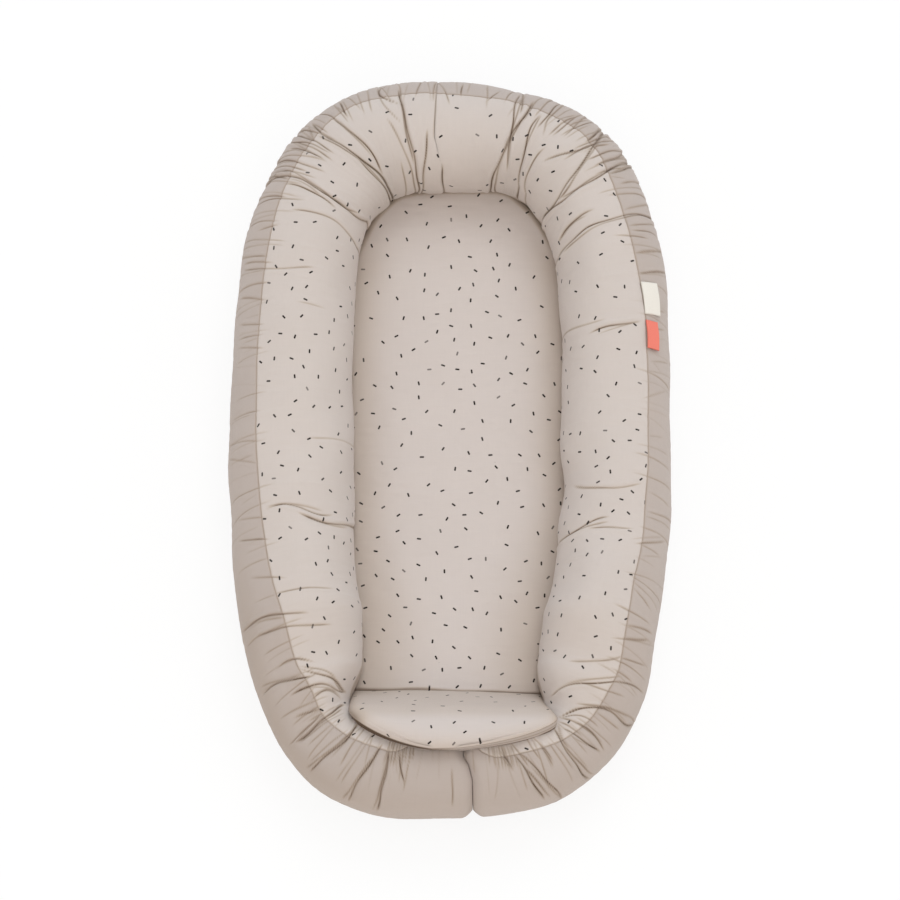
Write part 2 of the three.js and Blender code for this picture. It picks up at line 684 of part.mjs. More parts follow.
// Tape with rounded ends, in the recess over the gap between the two covers.
const tapeEnd = TAPE_WIDTH / 2;
const tape = new THREE.Shape([
  ...halfRound(ZIP_HEAD + TAPE_OVERHANG - tapeEnd, tapeEnd, 0),
  ...halfRound(ZIP_FOOT - TAPE_OVERHANG + tapeEnd, tapeEnd, Math.PI),
]);
addPiece("pad_zip_tape", standOut(tape, CLEARANCE, TAPE_THICKNESS), ZIP_NYLON);

// Closed teeth: a core with teeth on both sides, half a pitch apart, and a stop at each end.
const core = CORE_WIDTH / 2;
const toothTip = core + TOOTH_REACH;
const stopFoot = ZIP_FOOT + STOP_LENGTH;
const stopHead = ZIP_HEAD - STOP_LENGTH;
const toothCount = Math.floor((stopHead - stopFoot) / TOOTH_PITCH);
const toothHalf = (TOOTH_SHARE * TOOTH_PITCH) / 2;
function toothEdge(side, count, shift) {
  const teeth = spread(0, count - 1, count - 1).flatMap((i) => {
    const middle = stopFoot + (i + shift) * TOOTH_PITCH;
    const [from, to] = [middle - toothHalf, middle + toothHalf];
    return [[from, core], [from, toothTip], [to, toothTip], [to, core]];
  });
  const stops = [[ZIP_FOOT, toothTip], [stopFoot, toothTip], [stopFoot, core]];
  const last = [[stopHead, core], [stopHead, toothTip], [ZIP_HEAD, toothTip]];
  return [...stops, ...teeth, ...last].map(([y, z]) => new THREE.Vector2(y, side * z));
}
const chain = new THREE.Shape([
  ...toothEdge(-1, toothCount, 0.5),
  ...toothEdge(1, toothCount - 1, 1).reverse(),
]);
addPiece("pad_zip_teeth", standOut(chain, SLIDER_BOTTOM, CHAIN_THICKNESS), ZIP_NYLON);

// Slider: a channel over the teeth with a bridge on its back, at the foot end of the teeth.
const SLIDER_MIDDLE = stopFoot + CLEARANCE + SLIDER_LENGTH / 2;
const channelInside = toothTip + CLEARANCE;
const channelOutside = channelInside + SLIDER_WALL;
const channelRoof = SLIDER_TOP - SLIDER_WALL;
const channel = new THREE.Shape(
  [
    [SLIDER_BOTTOM, -channelOutside], [SLIDER_TOP, -channelOutside],
    [SLIDER_TOP, channelOutside], [SLIDER_BOTTOM, channelOutside],
    [SLIDER_BOTTOM, channelInside], [channelRoof, channelInside],
    [channelRoof, -channelInside], [SLIDER_BOTTOM, -channelInside],
  ].map(([x, z]) => new THREE.Vector2(x, z)),
);
const alongZip = new THREE.Matrix4().makeBasis(
  new THREE.Vector3(1, 0, 0),
  new THREE.Vector3(0, 0, 1),
  new THREE.Vector3(0, -1, 0),
);
const channelBody = new THREE.ExtrudeGeometry(channel, {
  depth: SLIDER_LENGTH,
  bevelEnabled: false,
})
  .applyMatrix4(alongZip)
  .translate(ZIP_SEAT, SLIDER_MIDDLE + SLIDER_LENGTH / 2, PAD_MIDDLE);
const bridgeOut = BRIDGE_SPAN / 2;
const bridgeIn = bridgeOut - BRIDGE_BAR;
const bridgeTop = SLIDER_TOP + BRIDGE_HEIGHT;
const bridgeFoot = SLIDER_TOP - SLIDER_WALL / 2;
const bridge = new THREE.Shape(
  [
    [bridgeFoot, -bridgeOut], [bridgeTop, -bridgeOut], [bridgeTop, bridgeOut],
    [bridgeFoot, bridgeOut], [bridgeFoot, bridgeIn], [bridgeTop - BRIDGE_BAR, bridgeIn],
    [bridgeTop - BRIDGE_BAR, -bridgeIn], [bridgeFoot, -bridgeIn],
  ].map(([x, y]) => new THREE.Vector2(x, y)),
);
const bridgeBody = new THREE.ExtrudeGeometry(bridge, {
  depth: BRIDGE_WIDTH,
  bevelEnabled: false,
}).translate(ZIP_SEAT, SLIDER_MIDDLE, PAD_MIDDLE - BRIDGE_WIDTH / 2);
addPiece("pad_zip_slider", fromSolid(toSolid(channelBody).add(toSolid(bridgeBody))), ZIP_METAL);

// Pull: a tag whose end bar lies under the bridge.
const pullHalf = PULL_WIDTH / 2;
const pullEnd = SLIDER_MIDDLE - PULL_BAR / 2;
const pull = new THREE.Shape([
  new THREE.Vector2(pullEnd, -pullHalf),
  ...halfRound(pullEnd + PULL_LENGTH - pullHalf, pullHalf, 0),
  new THREE.Vector2(pullEnd, pullHalf),
]);
const slotHalf = BRIDGE_WIDTH / 2 + PULL_PLAY;
const slotStart = pullEnd + PULL_BAR;
pull.holes.push(
  new THREE.Path(
    [
      [slotStart, -slotHalf], [slotStart, slotHalf],
      [slotStart + PULL_SLOT, slotHalf], [slotStart + PULL_SLOT, -slotHalf],
    ].map(([y, z]) => new THREE.Vector2(y, z)),
  ),
);
addPiece("pad_zip_pull", standOut(pull, SLIDER_TOP + CLEARANCE, PULL_THICKNESS), ZIP_METAL);

export default nest;
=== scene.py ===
# Infant lounger: an oval nest with a stuffed roll round a thin quilted floor, and a loose foam pad.
# Lengths are worked out in millimetres, as they would be measured on the cloth, and written to the
# meshes in metres. X is the width, +Y points to the head end, and the nest lies on Z = 0.
import math

import bmesh
import bpy
import numpy as np
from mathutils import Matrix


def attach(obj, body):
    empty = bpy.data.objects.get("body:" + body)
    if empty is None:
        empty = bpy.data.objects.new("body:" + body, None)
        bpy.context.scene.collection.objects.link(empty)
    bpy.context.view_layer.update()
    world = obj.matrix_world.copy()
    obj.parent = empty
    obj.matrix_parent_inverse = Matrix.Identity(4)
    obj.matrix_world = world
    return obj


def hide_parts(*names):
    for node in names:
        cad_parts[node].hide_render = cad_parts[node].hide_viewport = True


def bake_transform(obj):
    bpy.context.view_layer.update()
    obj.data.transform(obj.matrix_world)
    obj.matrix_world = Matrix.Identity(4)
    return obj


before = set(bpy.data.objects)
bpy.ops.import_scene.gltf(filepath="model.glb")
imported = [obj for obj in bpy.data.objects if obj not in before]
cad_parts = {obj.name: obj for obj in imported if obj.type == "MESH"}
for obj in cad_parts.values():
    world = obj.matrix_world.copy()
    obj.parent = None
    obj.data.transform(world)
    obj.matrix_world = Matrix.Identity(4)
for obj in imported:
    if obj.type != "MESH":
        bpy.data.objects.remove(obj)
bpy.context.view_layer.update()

# ---------------------------------------------------------------------------------------------
# Camera: a long lens high above the foot end, looking down on the nest, so that the sides of the
# roll stay almost parallel as they do in the photograph.
CAMERA_DISTANCE = 12.0
CAMERA_ELEVATION = math.radians(70)
PIXELS_PER_MM = 0.886
PIXELS_PER_SENSOR_MM = 25
AIM_Y, AIM_Z = -0.0078, 0.062
camera = bpy.data.objects.new("camera", bpy.data.cameras.new("camera"))
camera.data.sensor_width = 36
camera.data.lens = PIXELS_PER_MM / PIXELS_PER_SENSOR_MM * CAMERA_DISTANCE * 1000
camera.data.clip_end = 60
camera.rotation_euler = (math.pi / 2 - CAMERA_ELEVATION, 0, 0)
camera.location = (
    0,
    AIM_Y - CAMERA_DISTANCE * math.cos(CAMERA_ELEVATION),
    AIM_Z + CAMERA_DISTANCE * math.sin(CAMERA_ELEVATION),
)
bpy.context.collection.objects.link(camera)
bpy.context.scene.camera = camera

# ---------------------------------------------------------------------------------------------
# Studio: a white floor that keeps a faint shadow, an even white surround, and two wide soft lamps,
# a cool one from the head end and a warm one from the foot end.
bpy.context.scene.view_settings.view_transform = "Standard"


def add_node(tree, kind, values=(), **settings):
    """Adds a node, sets its properties, and fills its inputs: a socket is linked, anything else
    is written as the input's own value."""
    made = tree.nodes.new(kind)
    for key, value in settings.items():
        setattr(made, key, value)
    for key, value in dict(values).items():
        if isinstance(value, bpy.types.NodeSocket):
            tree.links.new(value, made.inputs[key])
        else:
            made.inputs[key].default_value = value
    return made


def calc(tree, operation, *values, clamp=False):
    """One math node on up to three values, and its result."""
    made = add_node(tree, "ShaderNodeMath", enumerate(values), operation=operation, use_clamp=clamp)
    return made.outputs[0]


def mix_colors(tree, factor, first, second, blend="MIX"):
    """From the first colour at a factor of 0 to the second, or to the blend of both, at 1."""
    values = {0: factor, 6: first, 7: second}
    made = add_node(tree, "ShaderNodeMix", values, data_type="RGBA", blend_type=blend)
    return made.outputs[2]


def empty_material(name):
    """A node material with nothing but its output."""
    material = bpy.data.materials.new(name)
    material.use_nodes = True
    material.node_tree.nodes.clear()
    output = material.node_tree.nodes.new("ShaderNodeOutputMaterial")
    return material, material.node_tree, output


def seen_ray(tree):
    """1 for a ray from the camera, off a mirror or through glass, and 0 for light on the object."""
    path = tree.nodes.new("ShaderNodeLightPath").outputs
    direct = calc(tree, "MAXIMUM", path["Is Camera Ray"], path["Is Glossy Ray"])
    return calc(tree, "MAXIMUM", direct, path["Is Transmission Ray"])


FLOOR_HALF = 14.0
FLOOR_DROP = 0.0005
FLOOR_GLOW = 0.86
FLOOR_CORNERS = ((-1, -1), (1, -1), (1, 1), (-1, 1))
floor_mesh = bpy.data.meshes.new("studio_floor")
floor_mesh.from_pydata(
    [(x * FLOOR_HALF, y * FLOOR_HALF, -FLOOR_DROP) for x, y in FLOOR_CORNERS], [], [(0, 1, 2, 3)]
)
studio_floor = bpy.data.objects.new("studio_floor", floor_mesh)
bpy.context.collection.objects.link(studio_floor)
studio_white, tree, output = empty_material("studio_white")
matt = add_node(tree, "ShaderNodeBsdfDiffuse", {"Color": (0.98, 0.98, 0.98, 1)})
glow = add_node(tree, "ShaderNodeEmission", {"Color": (1, 1, 1, 1), "Strength": 1.0})
glowing = calc(tree, "MULTIPLY", seen_ray(tree), FLOOR_GLOW)
mixed = add_node(tree, "ShaderNodeMixShader", {0: glowing, 1: matt.outputs[0], 2: glow.outputs[0]})
tree.links.new(mixed.outputs[0], output.inputs[0])
floor_mesh.materials.append(studio_white)

SURROUND = 0.8
FOOT_TINT = (1.03, 0.955, 0.865, 1)
HEAD_TINT = (0.965, 1.005, 1.065, 1)
world = bpy.data.worlds.new("surround")
bpy.context.scene.world = world
world.use_nodes = True
tree = world.node_tree
tree.nodes.clear()
seen = seen_ray(tree)
strength = calc(tree, "MULTIPLY_ADD", seen, 1 - SURROUND, SURROUND)
view_way = add_node(tree, "ShaderNodeTexCoord").outputs["Generated"]
toward_head = add_node(tree, "ShaderNodeSeparateXYZ", {0: view_way}).outputs[1]
head_part = calc(tree, "MULTIPLY_ADD", toward_head, 0.5, 0.5, clamp=True)
white = mix_colors(tree, seen, mix_colors(tree, head_part, FOOT_TINT, HEAD_TINT), (1, 1, 1, 1))
sky = add_node(tree, "ShaderNodeBackground", {"Color": white, "Strength": strength})
add_node(tree, "ShaderNodeOutputWorld", {0: sky.outputs[0]})

for name, energy, tint, lean, turn in (
    ("head_lamp", 0.72, (0.92, 0.985, 1.01), -42, 12),
    ("foot_lamp", 0.5, (1, 0.955, 0.89), 40, 4),
):
    lamp = bpy.data.objects.new(name, bpy.data.lights.new(name, "SUN"))
    lamp.data.energy = energy
    lamp.data.color = tint
    lamp.data.angle = math.radians(35)
    lamp.rotation_euler = (math.radians(lean), math.radians(turn), 0)
    bpy.context.collection.objects.link(lamp)

# ---------------------------------------------------------------------------------------------
# The stuffed roll. One long tube of cloth, gathered as it was sewn to the floor, so that it is
# crossed by creases; printed cotton inside and on top, plain cotton outside and underneath.
NEST_WIDTH = 500.0
NEST_LENGTH = 880.0
HEAD_SQUARENESS = 2.9
FOOT_SQUARENESS = 2.75
ROLL_RADIUS = 69.0
ROLL_SINK = 0.09
BASE_THICKNESS = 1.2
BASE_GAP = 0.3
GROUND_GAP = 0.2
# Shares run round the outline from the middle of the head, over the left side, the foot at 0.5
# and the right side. The radius is a share of the roll's, the seam in degrees from its top.
RADIUS_ROWS = [
    (0, 0.9), (0.08, 0.93), (0.15, 1), (0.3, 1.01), (0.345, 1.03), (0.385, 0.84), (0.412, 0.71),
    (0.46, 0.78), (0.54, 0.78), (0.588, 0.72), (0.615, 0.84), (0.652, 1.03), (0.7, 0.93),
    (0.75, 0.9), (0.82, 0.9), (0.92, 0.92), (1, 0.9),
]
SEAM_ROWS = [
    (0, 30), (0.03, 32), (0.08, 33), (0.115, 34), (0.15, 35), (0.19, 36), (0.225, 35),
    (0.25, 32.5), (0.275, 31), (0.3, 29), (0.325, 26.5), (0.345, 23), (0.362, 17), (0.378, 12),
    (0.388, 9), (0.402, 0), (0.42, -3), (0.44, -2), (0.476, -2), (0.49, -35), (0.511, -35),
    (0.521, 3), (0.54, 5), (0.56, 8), (0.585, 13), (0.6, 20), (0.613, 26), (0.635, 29), (0.65, 33),
    (0.68, 34), (0.73, 35), (0.79, 36), (0.8, 36), (0.814, 33), (0.836, 29), (0.855, 25),
    (0.872, 25.5), (0.9, 29), (0.92, 29), (0.95, 28), (0.98, 27), (1, 30),
]
# How much further out the roll's outside, and how much further in its inside, lies than on an even
# circle, in millimetres: the stuffing has shifted a little, and the pad's lip squeezes the foot.
OUTSIDE_ROWS = [
    (0, -2.3), (0.04, -3), (0.08, -3), (0.12, -1.8), (0.15, -3), (0.22, -3), (0.26, 0.5),
    (0.32, -2), (0.36, -1), (0.38, -0.6), (0.4, 3.6), (0.42, 4.2), (0.45, 2.2), (0.48, 1),
    (0.5, -2.3), (0.54, -3.8), (0.56, 0), (0.58, 3.7), (0.6, 4.8), (0.62, 3.7), (0.64, 0.5),
    (0.67, -5.4), (0.7, -1.6), (0.8, 0), (0.83, 3.6), (0.87, 5.9), (0.9, 2.8), (0.92, -1),
    (0.94, -7), (0.96, -8.6), (0.98, -5.6), (1, -2.3),
]
INSIDE_ROWS = [
    (0, 5), (0.06, 8.2), (0.085, 6), (0.104, 0.8), (0.132, -7), (0.169, -3.1), (0.2, 0.4),
    (0.28, 4), (0.3, 1.2), (0.3405, -5.4), (0.3575, 0), (0.376, 10), (0.388, 4), (0.403, -10.5),
    (0.43, -2), (0.45, 0), (0.56, 0), (0.587, -11), (0.597, 3.6), (0.6245, 8.9), (0.64, -6),
    (0.66, -15.4), (0.673, -9.8), (0.687, -4), (0.703, -2), (0.725, -6), (0.7465, 1.6), (0.78, -1),
    (0.83, -4.2), (0.8695, -10.2), (0.886, -8), (0.925, 0), (0.962, 1), (1, 5),
]
# Where the roll is joined at the head and where its ends meet at the foot, as angle and share.
JOIN_ROWS = [(-94, 0.0033), (-55, 0.0039), (-22, 0.0083), (5, 0.0078), (28, 0.0067), (68, 0.0061)]
MEETING_ROWS = [(-4, 0.5067), (10, 0.5094), (32, 0.5111), (70, 0.5111)]
HEAD_JOIN_SHARE, FOOT_MEETING_SHARE = 0.0067, 0.5107
# How far from the middle of the foot, as a share, the roll leaves the floor as a loose end.
LOOSE_SHARE = 0.123
UNDERSIDE = 152.0
END_ROUNDING = 14.0
END_DROP = 9.0


def eased(rows, at):
    """Value of a table at a share of the outline, eased from row to row by 3t^2 - 2t^3."""
    where, value = np.array(rows, float).T
    at = np.mod(at, 1)
    i = np.clip(np.searchsorted(where, at, side="right"), 1, len(where) - 1)
    t = np.clip((at - where[i - 1]) / (where[i] - where[i - 1]), 0, 1)
    return value[i - 1] + (value[i] - value[i - 1]) * t * t * (3 - 2 * t)


def running(rows, at):
    """Value of a table at a share of the outline: straight from row to row, and then the mean of
    five places close together, so that it has no corners."""
    where, value = np.array(rows, float).T
    shifts = np.linspace(-0.007, 0.007, 5)
    return sum(np.interp(np.mod(at + shift, 1), where, value) for shift in shifts) / 5


def smooth(x):
    """3x^2 - 2x^3 between 0 and 1."""
    x = np.clip(x, 0, 1)
    return x * x * (3 - 2 * x)


def oval(turn):
    """Superellipse: the distance from the middle is (|2 sin/W|^p + |2 cos/L|^p)^(-1/p), with one
    power for the head half and another for the foot half."""
    sine, cosine = np.sin(2 * np.pi * turn), np.cos(2 * np.pi * turn)
    power = np.where(cosine > 0, HEAD_SQUARENESS, FOOT_SQUARENESS)
    sideways = np.abs(2 * sine / NEST_WIDTH) ** power
    lengthways = np.abs(2 * cosine / NEST_LENGTH) ** power
    reach = (sideways + lengthways) ** (-1 / power)
    return np.stack([-sine * reach, cosine * reach], -1)


TURNS = np.linspace(0, 1, 7201)
STEPS = np.linalg.norm(np.diff(oval(TURNS), axis=0), axis=1)
LENGTHS = np.concatenate([[0], np.cumsum(STEPS)])
OUTLINE_LENGTH = LENGTHS[-1]


def outline(share):
    """Outermost point and outward direction at a share of the outline's length; the direction is
    the slope of the superellipse's own formula."""
    edge = oval(np.interp(np.mod(share, 1) * OUTLINE_LENGTH, LENGTHS, TURNS))
    power = np.where(edge[..., 1] > 0, HEAD_SQUARENESS, FOOT_SQUARENESS) - 1
    slopes = [
        np.sign(edge[..., k]) * np.abs(2 * edge[..., k] / size) ** power / size
        for k, size in enumerate((NEST_WIDTH, NEST_LENGTH))
    ]
    outward = np.stack(slopes, -1)
    return edge, outward / np.linalg.norm(outward, axis=-1, keepdims=True)


def radius_at(share):
    """The roll's own radius at a share of the outline."""
    return ROLL_RADIUS * eased(RADIUS_ROWS, share)


def on_roll(share, angle, depth=0.0):
    """A circle of the roll's radius less the depth, carried inside the outline and touching it,
    and stretched outwards and inwards by the two tables; the angle in degrees runs outwards from
    the top. Its foot flattens on the base by the mean of h and the root of h^2 + 4^2."""
    edge, outward = outline(share)
    radius = radius_at(share)
    turn = np.radians(angle)
    reach = radius - depth
    stretch = running(OUTSIDE_ROWS, share) * smooth((np.sin(turn) + 0.35) / 1.2)
    stretch = stretch - running(INSIDE_ROWS, share) * smooth((0.2 - np.sin(turn)) / 1.1)
    plan = edge + outward * (reach * np.sin(turn) - radius + stretch)[..., None]
    sewn = np.clip((np.abs(np.mod(share, 1) - 0.5) - LOOSE_SHARE) / 0.02, 0, 1)
    ground = (BASE_THICKNESS + BASE_GAP) * sewn + GROUND_GAP
    height = radius * (1 - ROLL_SINK) + reach * np.cos(turn) - ground
    height = ground + (height + np.sqrt(height**2 + 4**2)) / 2
    return np.concatenate([plan, height[..., None]], -1)


# Creases read along the roll: how deep and how wide, and the path as shares and angles.
CREASES = [
    # head, left
    (3.5, 3.0, [(0.0328, 58), (0.0322, 24), (0.0294, 20)]),
    (5.0, 4.0, [(0.0261, 38), (0.0256, 7), (0.0233, -24), (0.0211, -43), (0.0189, -87)]),
    (1.1, 2.0, [(0.0061, 68), (0.0067, 28), (0.0078, 5), (0.0083, -22)]),
    (3.5, 3.0, [(0.0122, -20), (0.0139, -44), (0.0161, -88)]),
    (2.0, 3.0, [(0.0378, 32), (0.0350, 12), (0.0300, -2)]),
    (2.0, 4.0, [(0.0361, -4), (0.0300, -28), (0.0244, -51), (0.0222, -78)]),
    (3.5, 4.0, [(0.0700, 30), (0.0683, 12), (0.0656, -7), (0.0639, -23), (0.0639, -43)]),
    (4.0, 3.0, [(0.0783, 51), (0.0822, 26)]),
    (5.0, 4.0, [(0.0817, 25), (0.0806, 0), (0.0767, -23), (0.0722, -41), (0.0661, -62),
        (0.0578, -105)]),
    (3.5, 3.0, [(0.0800, -23), (0.0783, -40), (0.0761, -62), (0.0661, -104)]),
    (3.0, 2.5, [(0.0594, 53), (0.0617, 25)]),
    (3.0, 2.5, [(0.0872, 63), (0.0878, 32)]),
    (3.0, 2.5, [(0.0961, 56), (0.0956, 29), (0.0961, 12)]),
    (5.0, 4.0, [(0.1156, 64), (0.1139, 33), (0.1133, 15), (0.1172, -6), (0.1217, -30),
        (0.1183, -53), (0.1189, -71)]),
    (3.0, 4.0, [(0.1189, 32), (0.1183, 14), (0.1211, -6), (0.1239, -24)]),
    (2.2, 4.0, [(0.1339, 13), (0.1322, -11), (0.1333, -34), (0.1372, -63)]),
    (2.0, 2.5, [(0.1411, 61), (0.1411, 32)]),
    (2.0, 2.5, [(0.1261, 66), (0.1267, 32)]),
    (1.6, 2.5, [(0.1050, 62), (0.1044, 39)]),
    (2.5, 3.0, [(0.0039, -55), (0.0033, -94)]),
    (1.6, 4.0, [(0.0322, -47), (0.0311, -75)]),
    # head, right
    (2.5, 2.0, [(0.9939, 51), (0.9944, 30)]),
    (4.0, 3.0, [(0.9639, 45), (0.9628, 20), (0.9639, 4), (0.9617, -13), (0.9589, -39),
        (0.9583, -51)]),
    (5.0, 4.0, [(0.9544, 35), (0.9544, 19), (0.9567, 3), (0.9617, -18), (0.9661, -41),
        (0.9706, -67), (0.9739, -108)]),
    (3.8, 3.5, [(0.9467, 16), (0.9456, -10), (0.9422, -33), (0.9306, -61)]),
    (2.2, 3.0, [(0.9394, 28), (0.9383, 9), (0.9361, 1)]),
    (2.2, 4.0, [(0.9261, -18), (0.9250, -41), (0.9167, -63)]),
    (2.8, 3.0, [(0.9167, -21), (0.9117, -2), (0.9072, 16), (0.9083, 29)]),
    (5.0, 4.0, [(0.9144, 74), (0.9078, 31), (0.9006, 12), (0.8928, -19), (0.8883, -37),
        (0.8844, -65)]),
    (2.2, 3.0, [(0.9239, 54), (0.9256, 27)]),
    (3.5, 2.5, [(0.9167, 75), (0.9133, 41), (0.9117, 29)]),
    (3.2, 3.0, [(0.9011, 78), (0.8961, 35), (0.8950, 20)]),
    (4.5, 4.0, [(0.8956, 79), (0.8917, 40), (0.8883, 12), (0.8850, -12), (0.8844, -34),
        (0.8844, -65)]),
    (3.0, 2.5, [(0.8928, 79), (0.8883, 31)]),
    (2.2, 2.5, [(0.8844, 81), (0.8817, 39)]),
    (4.2, 4.0, [(0.8650, 82), (0.8628, 34), (0.8633, 13), (0.8611, -6), (0.8583, -32),
        (0.8567, -54), (0.8544, -64)]),
    (3.0, 4.0, [(0.8622, -60), (0.8667, -40), (0.8694, -18), (0.8694, -8)]),
    (2.0, 3.0, [(0.8550, 84), (0.8544, 32)]),
    (1.4, 3.0, [(0.8467, 75), (0.8422, 31)]),
    (1.4, 3.0, [(0.8350, 73), (0.8311, 31)]),
    # foot, left
    (2.8, 2.9, [(0.3502, 79), (0.3502, 49), (0.3524, 22), (0.3552, -1)]),
    (2.4, 2.5, [(0.3575, 50), (0.3597, 19), (0.3615, -4), (0.3632, -23)]),
    (1.8, 2.9, [(0.3412, 21), (0.3418, -4), (0.3423, -31)]),
    (2.2, 2.2, [(0.3764, 31), (0.3770, 10), (0.3799, -2)]),
    (4.0, 2.5, [(0.3828, 64), (0.3851, 30), (0.3863, 13), (0.3892, 2)]),
    (3.2, 2.9, [(0.3845, 5), (0.3886, -10), (0.3961, -31), (0.4013, -57)]),
    (3.0, 2.2, [(0.3926, 23), (0.3938, 2), (0.3956, -15), (0.4008, -42), (0.4019, -57)]),
    (2.4, 2.2, [(0.3996, 1), (0.3990, -14), (0.4013, -38)]),
    (4.6, 2.5, [(0.4133, 44), (0.4139, 17), (0.4128, -4), (0.4116, -34), (0.4110, -46)]),
    (4.6, 2.5, [(0.4277, 64), (0.4308, 32), (0.4330, 10), (0.4340, -9), (0.4325, -24)]),
    (4.6, 2.5, [(0.4505, 76), (0.4531, 43), (0.4558, 13), (0.4590, -4)]),
    (4.4, 2.5, [(0.4649, 79), (0.4660, 36), (0.4649, 2), (0.4655, -2)]),
    (3.0, 2.2, [(0.4763, 31), (0.4742, 17), (0.4725, -1)]),
    (2.0, 2.2, [(0.4110, 60), (0.4116, 30), (0.4099, 3)]),
    (2.0, 2.0, [(0.4037, 28), (0.4065, 0)]),
    (1.6, 2.2, [(0.5011, 18), (0.5011, 63)]),
    (2.6, 2.0, [(0.3959, -32), (0.3985, -40), (0.4013, -50)]),
    (1.8, 2.0, [(0.3985, 1), (0.3985, -12), (0.4011, -28), (0.4045, -43)]),
    (1.6, 2.0, [(0.4051, 0), (0.4053, 14)]),
    (1.6, 2.0, [(0.4096, -2), (0.4093, 15)]),
    # foot, right
    (3.8, 2.2, [(0.5329, 21), (0.5297, 0)]),
    (4.6, 2.5, [(0.5458, 74), (0.5436, 52), (0.5404, 28), (0.5377, 8)]),
    (3.2, 2.5, [(0.5554, 95), (0.5521, 66), (0.5469, 28), (0.5410, 6)]),
    (2.2, 2.2, [(0.5564, 30), (0.5558, 3)]),
    (4.4, 2.5, [(0.5708, 87), (0.5681, 45), (0.5681, 18), (0.5708, -6)]),
    (3.4, 2.5, [(0.5817, 50), (0.5784, 18), (0.5762, -1)]),
    (2.4, 2.2, [(0.5845, 55), (0.5856, 33), (0.5850, 5)]),
    (4.2, 2.5, [(0.6067, 95), (0.6010, 43), (0.5987, 22), (0.5923, -4), (0.5828, -18)]),
    (3.0, 2.9, [(0.6149, 29), (0.6067, -2), (0.6004, -24), (0.5941, -47)]),
    (2.2, 2.9, [(0.6271, 25), (0.6224, 10), (0.6167, -19)]),
    (2.4, 2.2, [(0.6196, 74), (0.6190, 61), (0.6149, 29)]),
    (2.0, 2.2, [(0.6419, 60), (0.6363, 29)]),
    (2.0, 2.2, [(0.6465, 66), (0.6436, 33)]),
    (1.8, 2.2, [(0.6305, 62), (0.6271, 30)]),
    (2.4, 2.2, [(0.5822, -16), (0.5867, -8), (0.5890, 5), (0.5910, 25)]),
    (2.0, 2.2, [(0.5811, -15), (0.5842, -1), (0.5847, 18), (0.5856, 42)]),
    (2.2, 2.0, [(0.5781, -11), (0.5800, 2), (0.5806, 18)]),
    (2.0, 2.2, [(0.5751, -9), (0.5719, 1), (0.5702, 20)]),
    (1.8, 2.2, [(0.5543, -8), (0.5564, 8), (0.5575, 24)]),
    (1.8, 2.2, [(0.5490, -12), (0.5500, 6), (0.5511, 18)]),
    (2.2, 2.2, [(0.5373, -9), (0.5404, 5), (0.5426, 22)]),
    (2.0, 2.2, [(0.5300, -8), (0.5310, 6), (0.5324, 16)]),
    # left side
    (1.6, 4.0, [(0.1617, 67), (0.1644, 30)]),
    (2.0, 3.5, [(0.1650, 65), (0.1683, 29), (0.1672, 6), (0.1661, -13)]),
    (1.8, 3.0, [(0.1800, 67), (0.1844, 33)]),
    (1.8, 3.0, [(0.1944, 64), (0.1978, 33)]),
    (1.8, 3.0, [(0.2022, 63), (0.2033, 33)]),
    (1.6, 3.0, [(0.2067, 64), (0.2106, 32)]),
    (1.8, 4.0, [(0.2428, 68), (0.2439, 32)]),
    (1.6, 4.0, [(0.2550, 74), (0.2594, 31)]),
    (1.6, 3.0, [(0.2628, 71), (0.2706, 33)]),
    (3.6, 4.0, [(0.2944, 18), (0.2944, 3), (0.2967, -12), (0.2989, -27), (0.2989, -36)]),
    (3.6, 4.5, [(0.3006, -12), (0.3017, -25), (0.3039, -40), (0.3017, -59), (0.2978, -86)]),
    (2.4, 3.0, [(0.3067, 59), (0.3111, 28)]),
    (1.3, 5.0, [(0.2583, -21), (0.2572, -40), (0.2539, -87)]),
    (1.3, 5.0, [(0.1867, -8), (0.1872, -29)]),
    # right side
    (1.6, 3.0, [(0.8478, 84), (0.8422, 35)]),
    (2.0, 3.0, [(0.8372, 85), (0.8311, 34)]),
    (3.0, 4.5, [(0.8044, 23), (0.8028, 0), (0.8017, -16), (0.8006, -24)]),
    (1.6, 6.0, [(0.8061, -15), (0.8056, -39), (0.8061, -63)]),
    (1.6, 4.0, [(0.8144, 68), (0.8122, 45)]),
    (1.6, 4.0, [(0.8044, 64), (0.8028, 47)]),
    (2.2, 4.5, [(0.7194, 24), (0.7172, 6), (0.7167, -15), (0.7211, -53)]),
    (3.6, 4.0, [(0.7006, -10), (0.6994, -20), (0.6972, -35), (0.6944, -50), (0.6928, -66)]),
    (2.0, 4.0, [(0.6956, 17), (0.6950, -2), (0.6950, -23)]),
    (2.0, 3.0, [(0.6956, 69), (0.6883, 31)]),
]
PLEATS_SEED = 7
# Shares of the outline on both sides of the pad's lip where the seam is tightly ruffled.
RUFFLES = ((0.464, 0.481), (0.521, 0.538))
RUFFLE_PITCH = 4.2
DEEP_CREASE = 2.8
MM_PER_DEGREE = ROLL_RADIUS * np.pi / 180


